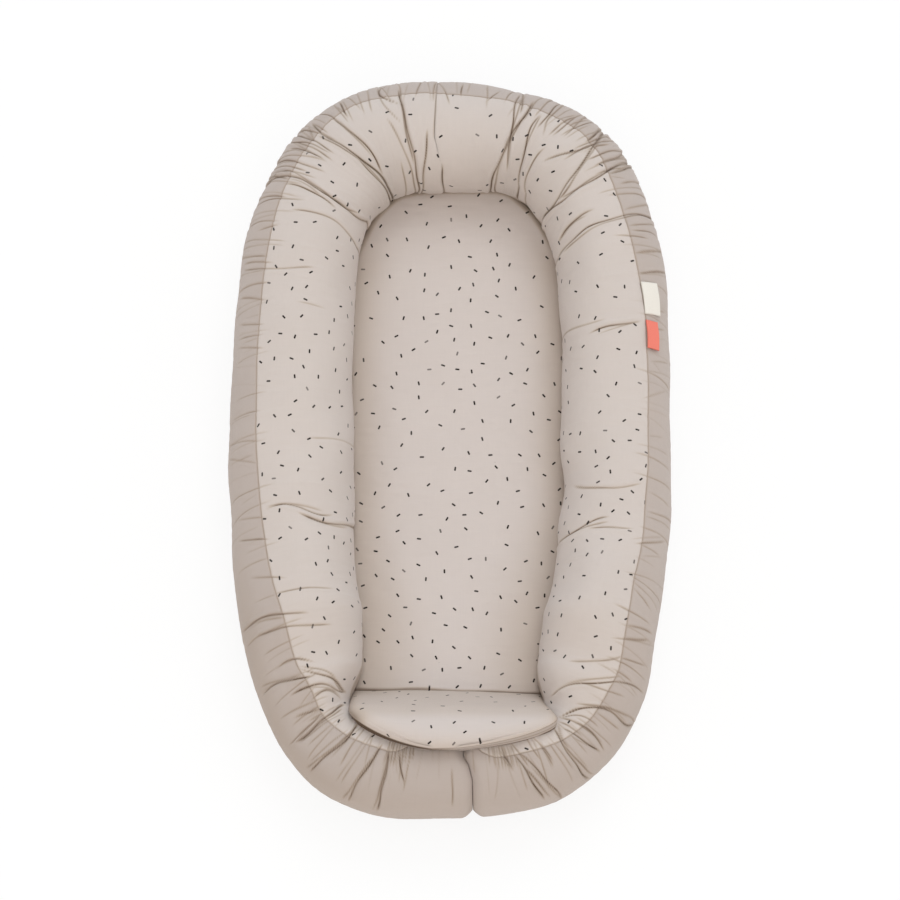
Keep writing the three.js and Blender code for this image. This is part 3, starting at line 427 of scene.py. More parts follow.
def pleats(rng):
    """Short shallow folds that the gathering leaves along the seam, in the plain band and, where
    the outline curves, far into the print; tight ruffles beside the lip of the pad; and a finer
    fold that runs into each deep crease."""
    made = []
    at = 0.0
    while at < 1:
        curve = abs(math.cos(2 * math.pi * at)) ** 0.8
        corner = sum(math.exp(-(((at % 0.5 - middle) / 0.05) ** 2)) for middle in (0.09, 0.42))
        at += rng.uniform(5, 21) * (1.25 - 0.55 * corner) / OUTLINE_LENGTH
        seam = float(running(SEAM_ROWS, at))
        inner = seam - rng.uniform(-8, 12) - rng.uniform(0, 30) * corner
        outer = seam + rng.uniform(14, 62)
        lean = rng.normal(0, 3.5) / OUTLINE_LENGTH
        foot = math.exp(-(((at - 0.5) / 0.12) ** 4))
        depth = rng.uniform(0.5, 1.9) * (0.5 + 0.6 * curve + 0.5 * corner) * (1 - 0.5 * foot)
        made.append((depth, 0.6 + depth * 1.1, [(at - lean, inner), (at + lean, outer)]))
    for start, stop in RUFFLES:
        for at in np.arange(start, stop, RUFFLE_PITCH / OUTLINE_LENGTH):
            at = at + rng.normal(0, 0.0003)
            seam = float(running(SEAM_ROWS, at))
            path = [(at, seam - rng.uniform(10, 22)), (at + rng.normal(0, 0.0006), seam + 14)]
            made.append((rng.uniform(1.0, 1.8), 1.0, path))
    for depth, _, path in CREASES:
        if depth < DEEP_CREASE:
            continue
        at, turn = np.array(path).T
        aside = rng.choice([-1, 1]) * rng.uniform(4, 8) / OUTLINE_LENGTH
        part = (turn - turn.min()) / (turn.max() - turn.min())
        part = part if rng.uniform() < 0.6 else 1 - part
        keep = slice(0, max(2, len(path) - 1))
        made.append((depth * 0.45, 1.6, list(zip((at + aside * part)[keep], turn[keep]))))
    return made


def crease_depth(share, angle, along, rng):
    """Each crease is a valley across the roll: a sharp line exp(-x) inside a wide dip exp(-x^2),
    x being the distance from its path, with a swollen lip on one side. Its path is a low curve
    fitted through the points that were read, and it fades at both ends, further on where it runs
    down the inside or over the head. The second result is the painted shade along the bottom of
    each fold, from 0 to 1."""
    total, fold = np.zeros(share.shape), np.zeros(share.shape)
    for depth, width, path in CREASES + pleats(np.random.default_rng(PLEATS_SEED)):
        side = rng.choice([-1.0, 1.0])
        wave = rng.uniform(0, 2 * math.pi, 2)
        at, turn = np.array(path, float).T
        low, high = turn.min(), turn.max()
        for centre in (at, at + 1):
            room = (8 + 9 * width) / OUTLINE_LENGTH
            near = share.min(axis=1) < centre.max() + room
            near &= share.max(axis=1) > centre.min() - room
            if not near.any():
                continue
            rows = slice(np.flatnonzero(near)[0], np.flatnonzero(near)[-1] + 1)
            s, a, step = share[rows], angle[rows], along[rows]
            curve = np.polyfit(turn, centre, min(len(turn) - 1, 2 if len(turn) < 5 else 3))
            line = np.polyval(curve, np.clip(a, low - 10, high + 10))
            slope = np.polyval(np.polyder(curve), a) * step / MM_PER_DEGREE
            wavy = min(depth, 3) * 0.25 * np.sin(a / 8 + wave[0])
            x = (s - line) * step / np.sqrt(1 + slope**2) + wavy
            down = low - 45 if low < -60 else low
            at_head = centre[0] % 1 < 0.15 or centre[0] % 1 > 0.85
            up = high + 35 if high > 56 and at_head else high
            fade = np.clip((a - down + 7) / 14, 0, 1) * np.clip((up + 7 - a) / 14, 0, 1)
            fade = smooth(fade)
            sharp = np.exp(-np.abs(x) / (0.35 + 0.1 * width))
            valley = 0.5 * sharp + 0.3 * np.exp(-((x / (2.2 * width)) ** 2))
            lip = (x - (1.0 + 0.7 * width) * side) / (0.6 + 0.5 * width)
            total[rows] += depth * fade * (valley - 0.32 * np.exp(-(lip**2)))
            # Painted shade: a dark line along the bottom of each crease and pleat.
            painted_crease_shade = min(1, depth / 3) ** 1.1 * fade * np.exp(-((x / 0.8) ** 2))
            painted_crease_shade = painted_crease_shade * (0.78 + 0.22 * np.sin(a / 14 + wave[1]))
            fold[rows] = np.maximum(fold[rows], painted_crease_shade)
    return total, fold


def ripples(p, q, seed, count, shortest, longest, size):
    """Sum of plane waves of random direction and length over the cloth, with the given root mean
    square size."""
    rng = np.random.default_rng(seed)
    total = np.zeros(p.shape)
    for _ in range(count):
        length = math.exp(rng.uniform(math.log(shortest), math.log(longest)))
        turn, start = rng.uniform(0, math.pi), rng.uniform(0, 2 * math.pi)
        total += np.sin(2 * math.pi * (p * math.cos(turn) + q * math.sin(turn)) / length + start)
    return total * size * math.sqrt(2 / count)


def grid_object(
    name, points, cloth=None, around=False, dashes=None, fold=None, merge=False, turn=False
):
    """Turns a grid of points into a smooth mesh in metres: each four neighbours are one face. The
    cloth grid holds the place on the flat cloth, in millimetres, and becomes the UV map. A merge
    joins points that lie on each other, as at a pole, and a turn then turns all faces outwards."""
    rows, columns = points.shape[:2]
    index = np.arange(rows * columns).reshape(rows, columns)
    right = np.roll(index, -1, axis=1) if around else index[:, 1:]
    left = index if around else index[:, :-1]
    faces = np.stack([left[:-1], right[:-1], right[1:], left[1:]], -1).reshape(-1, 4)
    mesh = bpy.data.meshes.new(name)
    mesh.vertices.add(rows * columns)
    mesh.vertices.foreach_set("co", (points.reshape(-1) / 1000).astype(np.float32))
    mesh.loops.add(faces.size)
    mesh.loops.foreach_set("vertex_index", faces.reshape(-1).astype(np.int32))
    mesh.polygons.add(len(faces))
    mesh.polygons.foreach_set("loop_start", np.arange(0, faces.size, 4, dtype=np.int32))
    mesh.polygons.foreach_set("use_smooth", np.ones(len(faces), bool))
    mesh.update(calc_edges=True)
    if cloth is not None:
        layer = mesh.uv_layers.new(name="cloth")
        flat = cloth.reshape(-1, 2)[faces.reshape(-1)] / 1000
        layer.data.foreach_set("uv", flat.reshape(-1).astype(np.float32))
    if dashes is not None:
        held = mesh.attributes.new("dash", "FLOAT_VECTOR", "POINT")
        held.data.foreach_set("vector", dashes.reshape(-1).astype(np.float32))
    # The fold attribute is painted shade, which the cotton paints into its colour.
    if fold is not None:
        held = mesh.attributes.new("fold", "FLOAT", "POINT")
        held.data.foreach_set("value", fold.reshape(-1).astype(np.float32))
    made = bpy.data.objects.new(name, mesh)
    bpy.context.collection.objects.link(made)
    if merge:
        work = bmesh.new()
        work.from_mesh(mesh)
        bmesh.ops.remove_doubles(work, verts=work.verts, dist=2e-6)
        bmesh.ops.dissolve_degenerate(work, edges=work.edges, dist=1e-7)
        if turn:
            bmesh.ops.recalc_face_normals(work, faces=work.faces)
        work.to_mesh(mesh)
        work.free()
    return made


DASH_REACH = 6.2
DASH_LEAST = 15.5
DASH_ROWS = 24


def scatter_dashes(points, seed, room, fold=0.0):
    """Places printed dashes at random on a grid of points, one to each room of square millimetres,
    never closer than the least spacing and seldom in a fold.
    Each point near a dash learns its own place along and across it, in millimetres, and how
    strongly it counts, which falls to 0 before the next dash's own reach begins."""
    rng = np.random.default_rng(seed)
    along = np.gradient(points, axis=0)
    across = np.gradient(points, axis=1)
    area = np.linalg.norm(np.cross(along, across), axis=-1)
    wanted = int(area.sum() / room)
    area = area * np.clip(1 - 2.5 * fold, 0, 1)
    places = rng.choice(area.size, 12 * wanted, p=(area / area.sum()).reshape(-1))
    spots = points.reshape(-1, 3)[places]
    kept = np.empty((0, 3))
    local = np.zeros(points.shape)
    local[..., :2] = DASH_REACH
    nearest = np.full(points.shape[:2], 2 * DASH_REACH)
    for place, spot in zip(places, spots):
        if len(kept) == wanted:
            break
        if len(kept) and np.linalg.norm(kept - spot, axis=1).min() < DASH_LEAST:
            continue
        kept = np.vstack([kept, spot])
        row, column = divmod(int(place), points.shape[1])
        first = along[row, column] / (np.linalg.norm(along[row, column]) + 1e-9)
        second = across[row, column] - first * (across[row, column] @ first)
        second = second / (np.linalg.norm(second) + 1e-9)
        turn = rng.uniform(0, math.pi)
        length_way = first * math.cos(turn) + second * math.sin(turn)
        width_way = second * math.cos(turn) - first * math.sin(turn)
        rows = slice(max(row - DASH_ROWS, 0), row + DASH_ROWS + 1)
        offset = points[rows] - spot
        far = np.linalg.norm(offset, axis=-1)
        weight = np.clip((DASH_REACH - far) / 1.2, 0, 1)
        inside = far < nearest[rows]
        nearest[rows] = np.where(inside, far, nearest[rows])
        strength = rng.uniform(0.94, 1) if rng.uniform() > 0.15 else rng.uniform(0.65, 0.9)
        found = np.stack([offset @ length_way, offset @ width_way, weight * strength], -1)
        local[rows] = np.where(inside[..., None], found, local[rows])
    return local


def empty_group(name, inputs, outputs):
    """A node group with named sockets, given as their names and kinds. Returns the group, the
    values that come in, and a function that sends out the results in the order of the names."""
    group = bpy.data.node_groups.new(name, "ShaderNodeTree")
    for way, sockets in (("INPUT", inputs), ("OUTPUT", outputs)):
        for socket, kind in sockets.items():
            group.interface.new_socket(socket, in_out=way, socket_type="NodeSocket" + kind)
    result = group.nodes.new("NodeGroupOutput").inputs

    def send(*values):
        for socket, value in zip(outputs, values):
            group.links.new(value, result[socket])

    return group, group.nodes.new("NodeGroupInput").outputs, send


def noise(tree, place, scale, detail, roughness=0.5):
    """Fractal noise at a place, a value round 0.5."""
    values = {"Vector": place, "Scale": scale, "Detail": detail, "Roughness": roughness}
    return add_node(tree, "ShaderNodeTexNoise", values).outputs[0]


def scaled(tree, color, factor):
    """A colour made lighter or darker by a factor."""
    values = {0: color, "Scale": factor}
    return add_node(tree, "ShaderNodeVectorMath", values, operation="SCALE").outputs[0]


def axes(tree, place):
    """The three parts of a place or of a dash."""
    return add_node(tree, "ShaderNodeSeparateXYZ", {0: place}).outputs


def cotton_group():
    """Plain woven cotton. Thicker threads run both ways as long narrow noise, the crossing threads
    are the product of two sine waves, and soft clouds change the shade a little. The fold value
    paints shade into the colour, for creases and for places in shade: warmer first, and then dark."""
    group, given, send = empty_group(
        "woven cotton",
        {
            "Place": "Vector", "Cloth": "Color", "Unevenness": "Float", "Painted shade": "Float",
            "Threads per metre": "Float",
        },
        {"Color": "Color", "Roughness": "Float", "Height": "Float"},
    )
    place = given["Place"]
    slubs = []
    for scale in ((28, 900, 1), (900, 28, 1)):
        values = {0: place, 1: scale}
        stretched = add_node(group, "ShaderNodeVectorMath", values, operation="MULTIPLY")
        slubs.append(noise(group, stretched.outputs[0], 1.0, 3.0, 0.6))
    slub = calc(group, "ADD", *slubs)
    cloud = noise(group, place, 14.0, 2.0)
    waves = [
        calc(group, "SINE", calc(group, "MULTIPLY", axis, given["Threads per metre"]))
        for axis in axes(group, place)[:2]
    ]
    weave = calc(group, "MULTIPLY", *waves)
    change = calc(group, "MULTIPLY_ADD", slub, 1.0, calc(group, "MULTIPLY_ADD", cloud, 0.9, -1.45))
    change = calc(group, "MULTIPLY_ADD", weave, 0.12, change)
    factor = calc(group, "MULTIPLY_ADD", change, given["Unevenness"], 1.0)
    color = scaled(group, given["Cloth"], factor)
    # Painted shade: the fold value multiplies the colour warmer, and then dark.
    for steep, darker in ((5.0, (1, 0.955, 0.88, 1)), (1.0, (0.16, 0.1, 0.05, 1))):
        part = calc(group, "MULTIPLY", given["Painted shade"], steep, clamp=True)
        color = mix_colors(group, part, color, darker, "MULTIPLY")
    rough = calc(group, "MULTIPLY_ADD", slub, 0.12, 0.78, clamp=True)
    height = calc(group, "MULTIPLY_ADD", slub, 0.5, calc(group, "MULTIPLY", weave, 0.35))
    send(color, rough, height)
    return group


def dash_group():
    """A printed dash: a capsule, which is the distance to a short line less a radius, with an edge
    that the threads leave slightly ragged."""
    group, given, send = empty_group(
        "printed dashes",
        {
            "Dash": "Vector", "Place": "Vector", "Cloth": "Color", "Ink": "Color",
            "Half length": "Float", "Radius": "Float",
        },
        {"Color": "Color"},
    )
    along, across, weight = axes(group, given["Dash"])
    past = calc(group, "SUBTRACT", calc(group, "ABSOLUTE", along), given["Half length"])
    past = calc(group, "MAXIMUM", past, 0.0)
    squares = calc(group, "MULTIPLY_ADD", past, past, calc(group, "MULTIPLY", across, across))
    ragged = noise(group, given["Place"], 1500.0, 1.0)
    far = calc(group, "MULTIPLY_ADD", ragged, 0.5, calc(group, "SQRT", squares))
    edge = calc(group, "SUBTRACT", calc(group, "ADD", given["Radius"], 0.25), far)
    ink = calc(group, "MULTIPLY_ADD", edge, 2.6, 0.5, clamp=True)
    counts = calc(group, "MULTIPLY", calc(group, "SUBTRACT", weight, 0.25), 8.0, clamp=True)
    ink = calc(group, "MULTIPLY", calc(group, "MULTIPLY", ink, counts), weight, clamp=True)
    send(mix_colors(group, ink, given["Cloth"], given["Ink"]))
    return group


COTTON, DASHES = cotton_group(), dash_group()
THREAD_PITCH = 0.0009
DASH_HALF_LENGTH, DASH_RADIUS = 1.5, 1.0


def linear(red, green, blue):
    """A colour as read from the photograph, 0 to 255, as the shader's own linear values."""
    value = np.array([red, green, blue]) / 255
    value = np.where(value < 0.04045, value / 12.92, ((value + 0.055) / 1.055) ** 2.4)
    return (*value, 1.0)


def surface(tree, output, color, roughness, height, distance, strength, more=()):
    """A material's shader: its colour and roughness, and a bump of the height times a distance in
    metres."""
    values = {"Height": height, "Distance": distance, "Strength": strength}
    bump = add_node(tree, "ShaderNodeBump", values).outputs[0]
    values = {"Base Color": color, "Roughness": roughness, "Normal": bump, **dict(more)}
    shader = add_node(tree, "ShaderNodeBsdfPrincipled", values)
    tree.links.new(shader.outputs[0], output.inputs[0])


def cotton(name, cloth, ink=None):
    """Cotton cloth, with printed dashes where an ink is given."""
    material, tree, output = empty_material(name)
    place = add_node(tree, "ShaderNodeUVMap", uv_map="cloth").outputs[0]
    values = {
        "Place": place,
        "Cloth": cloth,
        "Unevenness": 0.05,
        # The fold attribute carries the painted shade.
        "Painted shade": add_node(tree, "ShaderNodeAttribute", attribute_name="fold").outputs["Fac"],
        "Threads per metre": 2 * math.pi / THREAD_PITCH,
    }
    woven = add_node(tree, "ShaderNodeGroup", values, node_tree=COTTON).outputs
    color = woven["Color"]
    if ink:
        values = {
            "Dash": add_node(tree, "ShaderNodeAttribute", attribute_name="dash").outputs["Vector"],
            "Place": place,
            "Cloth": color,
            "Ink": ink,
            "Half length": DASH_HALF_LENGTH,
            "Radius": DASH_RADIUS,
        }
        color = add_node(tree, "ShaderNodeGroup", values, node_tree=DASHES).outputs["Color"]
    soft = {"Sheen Weight": 0.15, "Sheen Roughness": 0.5, "Specular IOR Level": 0.2}
    surface(tree, output, color, woven["Roughness"], woven["Height"], 0.0004, 0.6, soft)
    return material


INK = linear(34, 26, 23)
printed_cotton = cotton("printed_cotton", linear(209, 199, 193), INK)
plain_cotton = cotton("plain_cotton", linear(189, 177, 170))


def roll_places(sign, angles_end, offsets):
    """Shares and angles of one half of the roll's cloth, from the join at the head to the meeting
    at the foot, and from the seam to the angle where the cloth ends. Both end lines lean as the
    photograph shows, and the seam follows its table."""
    close = np.array([0, 0.5, 1.1, 1.9, 3.0])
    half = OUTLINE_LENGTH / 2
    run = np.concatenate([close, np.arange(4.1, half - 4, 1.08), half - close[::-1]]) / half
    whole = 0 if sign > 0 else 1
    start = HEAD_JOIN_SHARE + whole
    rough = start + (FOOT_MEETING_SHARE - start) * run
    seam = running(SEAM_ROWS, rough)[:, None]
    part = (offsets / offsets[-1])[None, :]
    angle = seam + (angles_end - seam) * part
    joined = np.interp(angle, *np.array(JOIN_ROWS).T) + whole
    met = np.interp(angle, *np.array(MEETING_ROWS).T) - sign * 0.3 / OUTLINE_LENGTH
    share = joined + (met - joined) * run[:, None]
    return share, angle, run * half, np.abs(angle - seam)


# From the seam on, close together first: where the two cloths have their lines, in millimetres.
BESIDE_SEAM = [0, 0.5, 1.1, 2.0, 3.4]
PRINTED_STEPS = np.concatenate([BESIDE_SEAM, np.arange(5.6, 217, 3.3)])
PLAIN_STEPS = np.concatenate([BESIDE_SEAM, np.arange(5.6, 213, 3.3)])
SEAM_DEPTH = 1.3


def roll_cloth(side, steps, end):
    """One half of one cloth: the roll's circle less the creases, ripples, seam grooves and the
    rounded end, all taken along the circle's radius."""
    sign = 1 if side == "left" else -1
    share, angle, run, from_seam = roll_places(sign, end, steps)
    step = np.linalg.norm(np.gradient(on_roll(share, angle), axis=0), axis=-1)
    along = step / np.abs(np.gradient(share, axis=0))
    radius = radius_at(share)
    p = share * OUTLINE_LENGTH
    q = np.radians(angle) * radius
    depth, fold = crease_depth(share, angle, along, np.random.default_rng(11))
    depth += ripples(p, q, 3, 26, 60, 240, 0.8)
    depth += ripples(p, q * 0.4, 5, 40, 8, 30, 0.09)
    arc = np.radians(from_seam) * radius
    depth += SEAM_DEPTH * np.exp(-arc / 0.9)
    fold = np.maximum(fold, 0.2 * np.exp(-((arc / 1.0) ** 2)))
    # Painted shade: the roll's outside is painted darker, most at the left of the foot, and a
    # little from the left side round the foot to the right.
    outer = smooth((angle - 35) / 35)
    painted_outer_shade = 0.085 * np.exp(-(((share - 0.39) / 0.07) ** 4))
    painted_outer_shade = painted_outer_shade + 0.03 * smooth((share - 0.15) / 0.1) * smooth((0.72 - share) / 0.1)
    fold = np.maximum(fold, outer * painted_outer_shade)
    # Painted shade: a dark line low on the roll's inner side, just past where it turns from view
    # behind the pad.
    tangent = 90 + 20 * outline(share)[1][..., 1]
    fold = np.maximum(fold, 0.38 * smooth((-angle - tangent + 5) / 6))
    depth += 0.4 * np.exp(-run / 0.8)[:, None]
    to_end = (run[-1] - run)[:, None]
    depth += END_DROP * np.clip(1 - to_end / END_ROUNDING, 0, 1) ** 2
    bare = 0.27 * np.exp(-(((share + 0.5) % 1 - 0.5) / 0.1) ** 4)
    return on_roll(share, angle, depth), np.stack([p, q], -1), fold, fold + bare


def dress(piece, material, nodes, body=None):
    """Gives a piece its cloth and slot, hides the solids that it replaces, and ties it to the body
    that it moves with."""
    piece.data.materials.append(material)
    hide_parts(*nodes)
    if body:
        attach(piece, body)


def dress_roll(piece, side, material, node):
    """Dresses a piece of one half of the roll, in place of its solid and the solid of its loose
    end, and bakes its place into its mesh.
    """
    dress(piece, material, [node, f"{node}_{side}_end"])
    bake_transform(piece)


for side in ("left", "right"):
    points, cloth, fold, bare = roll_cloth(side, PRINTED_STEPS, -UNDERSIDE)
    dashes = scatter_dashes(points, 21 if side == "left" else 22, 960.0, bare)
    piece = grid_object(f"roll_printed_{side}", points, cloth, dashes=dashes, fold=fold)
    if side == "left":
        piece.data.flip_normals()
    dress_roll(piece, side, printed_cotton, "printed_sleeve")
    points, cloth, fold, _ = roll_cloth(side, PLAIN_STEPS, 360 - UNDERSIDE)
    piece = grid_object(f"roll_plain_{side}", points, cloth, fold=fold)
    if side == "right":
        piece.data.flip_normals()
    dress_roll(piece, side, plain_cotton, "plain_sleeve")

# ---------------------------------------------------------------------------------------------
# The roll's filling: siliconised polyester fibre, one soft core under the cloth of each half. It
# stays deeper than the deepest crease, and stops short of the caps that close the loose ends.
FILLING_DEPTH = 11.0
FILLING_STOPS = {"left": 0.5058, "right": FOOT_MEETING_SHARE}


def grain_group():
    """Fine noise on the piece's own place, which makes the colour lighter and darker by the amount
    of grain round a middle level, and is the height of the bump."""
    group, given, send = empty_group(
        "fine grain",
        {
            "Place": "Vector", "Color": "Color", "Scale": "Float", "Detail": "Float",
            "Grain": "Float", "Level": "Float",
        },
        {"Color": "Color", "Height": "Float"},
    )
    height = noise(group, given["Place"], given["Scale"], given["Detail"])
    factor = calc(group, "MULTIPLY_ADD", height, given["Grain"], given["Level"])
    send(scaled(group, given["Color"], factor), height)
    return group


GRAIN = grain_group()


def grained(tree, color, scale, detail, grain, level):
    """The grain on the piece's own place: its colour and its height."""
    values = {
        "Place": add_node(tree, "ShaderNodeTexCoord").outputs["Object"],
        "Color": color,
        "Scale": scale,
        "Detail": detail,
        "Grain": grain,
        "Level": level,
    }
    return add_node(tree, "ShaderNodeGroup", values, node_tree=GRAIN).outputs


def fibre(name, cloth, roughness):
    """Carded fibre or foam: fine grain in the colour and in the bump."""
    material, tree, output = empty_material(name)
    fine = grained(tree, cloth, 700.0, 4.0, 0.16, 0.9)
    surface(tree, output, fine["Color"], roughness, fine["Height"], 0.001, 0.7)
    return material


polyester_fibre = fibre("polyester_fibre", linear(238, 236, 230), 0.95)


def capped(rings):
    """Closes a row of rings with a middle point at each end, so that the skin is one body."""
    first, last = (np.broadcast_to(rings[k].mean(axis=0), rings[k].shape)[None] for k in (0, -1))
    return np.concatenate([first, rings, last])


for side in ("left", "right"):
    run = np.linspace(0.001, 1 - 0.006, 110)[:, None]
    start = HEAD_JOIN_SHARE + (side == "right")
    share = start + (FILLING_STOPS[side] - start) * run + np.zeros((1, 48))
    angle = np.broadcast_to(np.linspace(-180, 180, 48, endpoint=False), share.shape)
    near_end = np.clip(1 - (1 - run) * OUTLINE_LENGTH / 2 / 24, 0, 1) ** 2
    points = on_roll(share, angle, FILLING_DEPTH + 6 * near_end + np.zeros(share.shape))
    points[..., 2] = np.maximum(points[..., 2], 3.2)
    points = capped(points)
    piece = grid_object(f"roll_filling_{side}", points, around=True, merge=True, turn=True)
    dress_roll(piece, side, polyester_fibre, "bumper_filling")

# ---------------------------------------------------------------------------------------------
# The plain caps that close the two ends of the roll at the foot: round pieces of the plain cotton,
# sewn into the tube's end with a short turned edge and a little fullness.
CAP_DEPTH = END_DROP + 0.8
for side in ("left", "right"):
    sign = 1 if side == "left" else -1
    halves = []
    for steps, end, way in ((PRINTED_STEPS, -UNDERSIDE, -1), (PLAIN_STEPS, 360 - UNDERSIDE, 1)):
        share, angle, _, _ = roll_places(sign, end, steps)
        half = on_roll(share[-1:], angle[-1:], np.full((1, len(steps)), CAP_DEPTH))[0]
        halves.append(half[::way][:-1])
    rim = np.concatenate(halves)
    middle = rim.mean(axis=0)
    reach = np.concatenate([np.linspace(1, 0.9, 6), np.linspace(0.86, 0, 16)])[:, None, None]
    turn = np.linspace(0, 2 * math.pi, rim.shape[0], endpoint=False)
    from_rim = 1 - reach[..., 0]
    tuck = 0.5 * (np.sin(turn * 23) + 0.6 * np.sin(turn * 37 + 1)) * np.exp(-(from_rim / 0.12))
    back = 0.7 + 2.2 * np.exp(-(from_rim * 45 / 1.2)) + np.abs(tuck)
    face = middle + (rim - middle) * reach + np.array([-sign, 0.0, 0.0]) * back[..., None]
    cloth = (face - middle)[..., [1, 2]]
    piece = grid_object(f"end_cap_cloth_{side}", face, cloth, around=True, merge=True)
    if side == "right":
        piece.data.flip_normals()
    dress(piece, plain_cotton, [f"end_cap_{side}"], f"foot_end_{side}")

# ---------------------------------------------------------------------------------------------
# The floor of the nest: plain base cloth, wadding and printed top, quilted together in diamonds
# and sewn in along the roll.
WADDING = 4.0
LAYER_GAP = 0.3
QUILT_PITCH = 62.0
QUILT_SLANT = 1.3
FLOOR_AROUND = 420
FLOOR_RINGS = 70


def layer(offset, bottom, top, dip):
    """A closed flat layer of cloth. Its plan runs in rings from a line down the middle to the edge
    beside the roll; its faces dip along two families of slanting quilting lines."""
    around = np.arange(FLOOR_AROUND) / FLOOR_AROUND
    edge, outward = outline(around)
    radius = radius_at(around)
    rim = edge + outward * (offset(around, radius) - radius)[:, None]
    spine = np.stack([0 * edge[:, 0], np.clip(0.75 * edge[:, 1], -210, 210)], -1)
    reach = np.linspace(0, 1, FLOOR_RINGS)[:, None, None]
    plan = spine + (rim - spine) * reach
    lines = [
        np.abs(np.sin(math.pi * (plan[..., 0] * slant + plan[..., 1]) / QUILT_PITCH))
        for slant in (QUILT_SLANT, -QUILT_SLANT)
    ]
    puff = np.clip(np.minimum(*lines) * 2.2, 0, 1) ** 0.6
    puff = puff * np.clip((1 - reach[..., 0]) * 12, 0, 1)
    upper = np.concatenate([plan, (top - dip[1] * (1 - puff))[..., None]], -1)
    lower = np.concatenate([plan, (bottom + dip[0] * (1 - puff))[..., None]], -1)
    return np.concatenate([upper, lower[::-1]])


def quilted(name, material, node, points, dashes=None):
    """Builds a layer of the floor and sews it to the nest. Returns it with its flat size in
    metres."""
    cloth = points[..., :2]
    piece = grid_object(name, points, cloth, around=True, dashes=dashes, merge=True, turn=True)
    dress(piece, material, [node], "nest")
    plan = cloth.reshape(-1, 2)
    return piece, (plan.max(axis=0) - plan.min(axis=0)) / 1000


def beside_roll(around, radius):
    """Just inside the place where the roll's circle meets the height of the floor's top."""
    height = BASE_THICKNESS + WADDING + 2 * LAYER_GAP + BASE_THICKNESS
    rise = radius * (1 - ROLL_SINK) - height
    return -np.sqrt(radius**2 - rise**2) - 1 - 0.7 * running(INSIDE_ROWS, around)


def under_roll(around, radius):
    """Under the sewn roll to the line where its plain cloth ends, and short of the loose ends."""
    reach = radius * math.sin(math.radians(UNDERSIDE)) + 1
    return np.where(np.abs(around - 0.5) < LOOSE_SHARE, -reach, reach)


points = layer(under_roll, 0.0, BASE_THICKNESS, (0.5, 0.0))
base, size = quilted("floor_base_cloth", plain_cotton, "base_panel", points)

bottom = BASE_THICKNESS + LAYER_GAP
points = layer(beside_roll, bottom, bottom + WADDING, (0.2, 0.9))
wadding, _ = quilted(
    "floor_wadding_fibre", polyester_fibre, "floor_wadding", points
)

bottom = bottom + WADDING + LAYER_GAP
points = layer(beside_roll, bottom, bottom + BASE_THICKNESS, (-0.7, 0.9))
dashes = scatter_dashes(points, 31, 640.0)
top, size = quilted(
    "floor_top_cloth", printed_cotton, "floor_panel", points, dashes
)

# ---------------------------------------------------------------------------------------------
# The loose pad: a foam slab in a cover with a printed top and a plain side band and underside. It
# fills the opening inside the roll, and its foot end is folded up and lies over the roll as a lip.
PAD_THICKNESS = 23.0
PAD_HEAD = 309.8
PAD_MIDDLE = 18.8
PAD_TUCK = 4.0
FLAT_RUN, FOLD_RUN, RISER_RUN, LIP_RUN = 594.0, 12.0, 71.0, 58.5
FOLD_ANGLE = math.radians(58)
LIP_END_ANGLE = math.radians(5)
FOLD_SKEW = 0.02
PAD_LENGTH = FLAT_RUN + FOLD_RUN + RISER_RUN + LIP_RUN
LIP_START = PAD_LENGTH - LIP_RUN
LIP_ROUNDINGS = {-1: (58.0, 1.72), 1: (38.0, 1.6)}
LIP_TIP = -6.0
BAND_FOOT = 1.5 - PAD_THICKNESS / 2
SEAM_OVER_MIDDLE = 6.5

# The middle line, stepped half a millimetre at a time: its tilt grows through the fold and falls
# again over the lip, and its place is the sum of the steps.
LINE_STEP = 0.5
LINE = np.arange(-60, PAD_LENGTH + 60, LINE_STEP)
fold = np.clip((LINE - FLAT_RUN) / FOLD_RUN, 0, 1) * FOLD_ANGLE
unfold = np.clip((LINE - LIP_START) / LIP_RUN, 0, 1.6) * (FOLD_ANGLE - LIP_END_ANGLE)
LINE_TILT = fold - unfold
LINE_Y = PAD_HEAD - np.cumsum(np.cos(LINE_TILT)) * LINE_STEP
LINE_Y += PAD_HEAD - np.interp(0, LINE, LINE_Y)
LINE_Z = np.cumsum(np.sin(LINE_TILT)) * LINE_STEP
LINE_Z += PAD_MIDDLE - np.interp(0, LINE, LINE_Z)


def bent(x, distance, height):
    """Carries a point of the flat pad to its place: along the middle line by the distance from
    the head end, and up from it at a right angle by the height. The fold lies a little askew."""
    askew = FOLD_SKEW * x
    along = distance - askew
    tilt = np.interp(along, LINE, LINE_TILT)
    y = np.interp(along, LINE, LINE_Y) - askew + height * np.sin(tilt)
    return np.stack([x, y, np.interp(along, LINE, LINE_Z) + height * np.cos(tilt)], -1)


def opening(sign):
    """The width inside the roll on one side, as x against y, and a little more, because the pad's
    edge lies under the roll's widest part."""
    around = np.linspace(0, 0.404, 800) if sign < 0 else np.linspace(1, 0.586, 800)
    edge, outward = outline(around)
    tuck = PAD_TUCK + 8 * np.clip(outward[:, 1], 0, 1)
    reach = 2 * ROLL_RADIUS * eased(RADIUS_ROWS, around) + running(INSIDE_ROWS, around) - tuck
    inner = edge - outward * reach[:, None]
    return inner[::-1, 1], inner[::-1, 0]


# The pad's sides from the fold on, where the loose ends pinch it: distance, left x and right x.
PINCH_ROWS = [
    (575, -103, 100), (600, -110, 102), (625, -111, 105), (645, -112, 107), (664, -113, 110),
    (686, -113, 116), (698, -112, 120), (716, -111, 121),
]


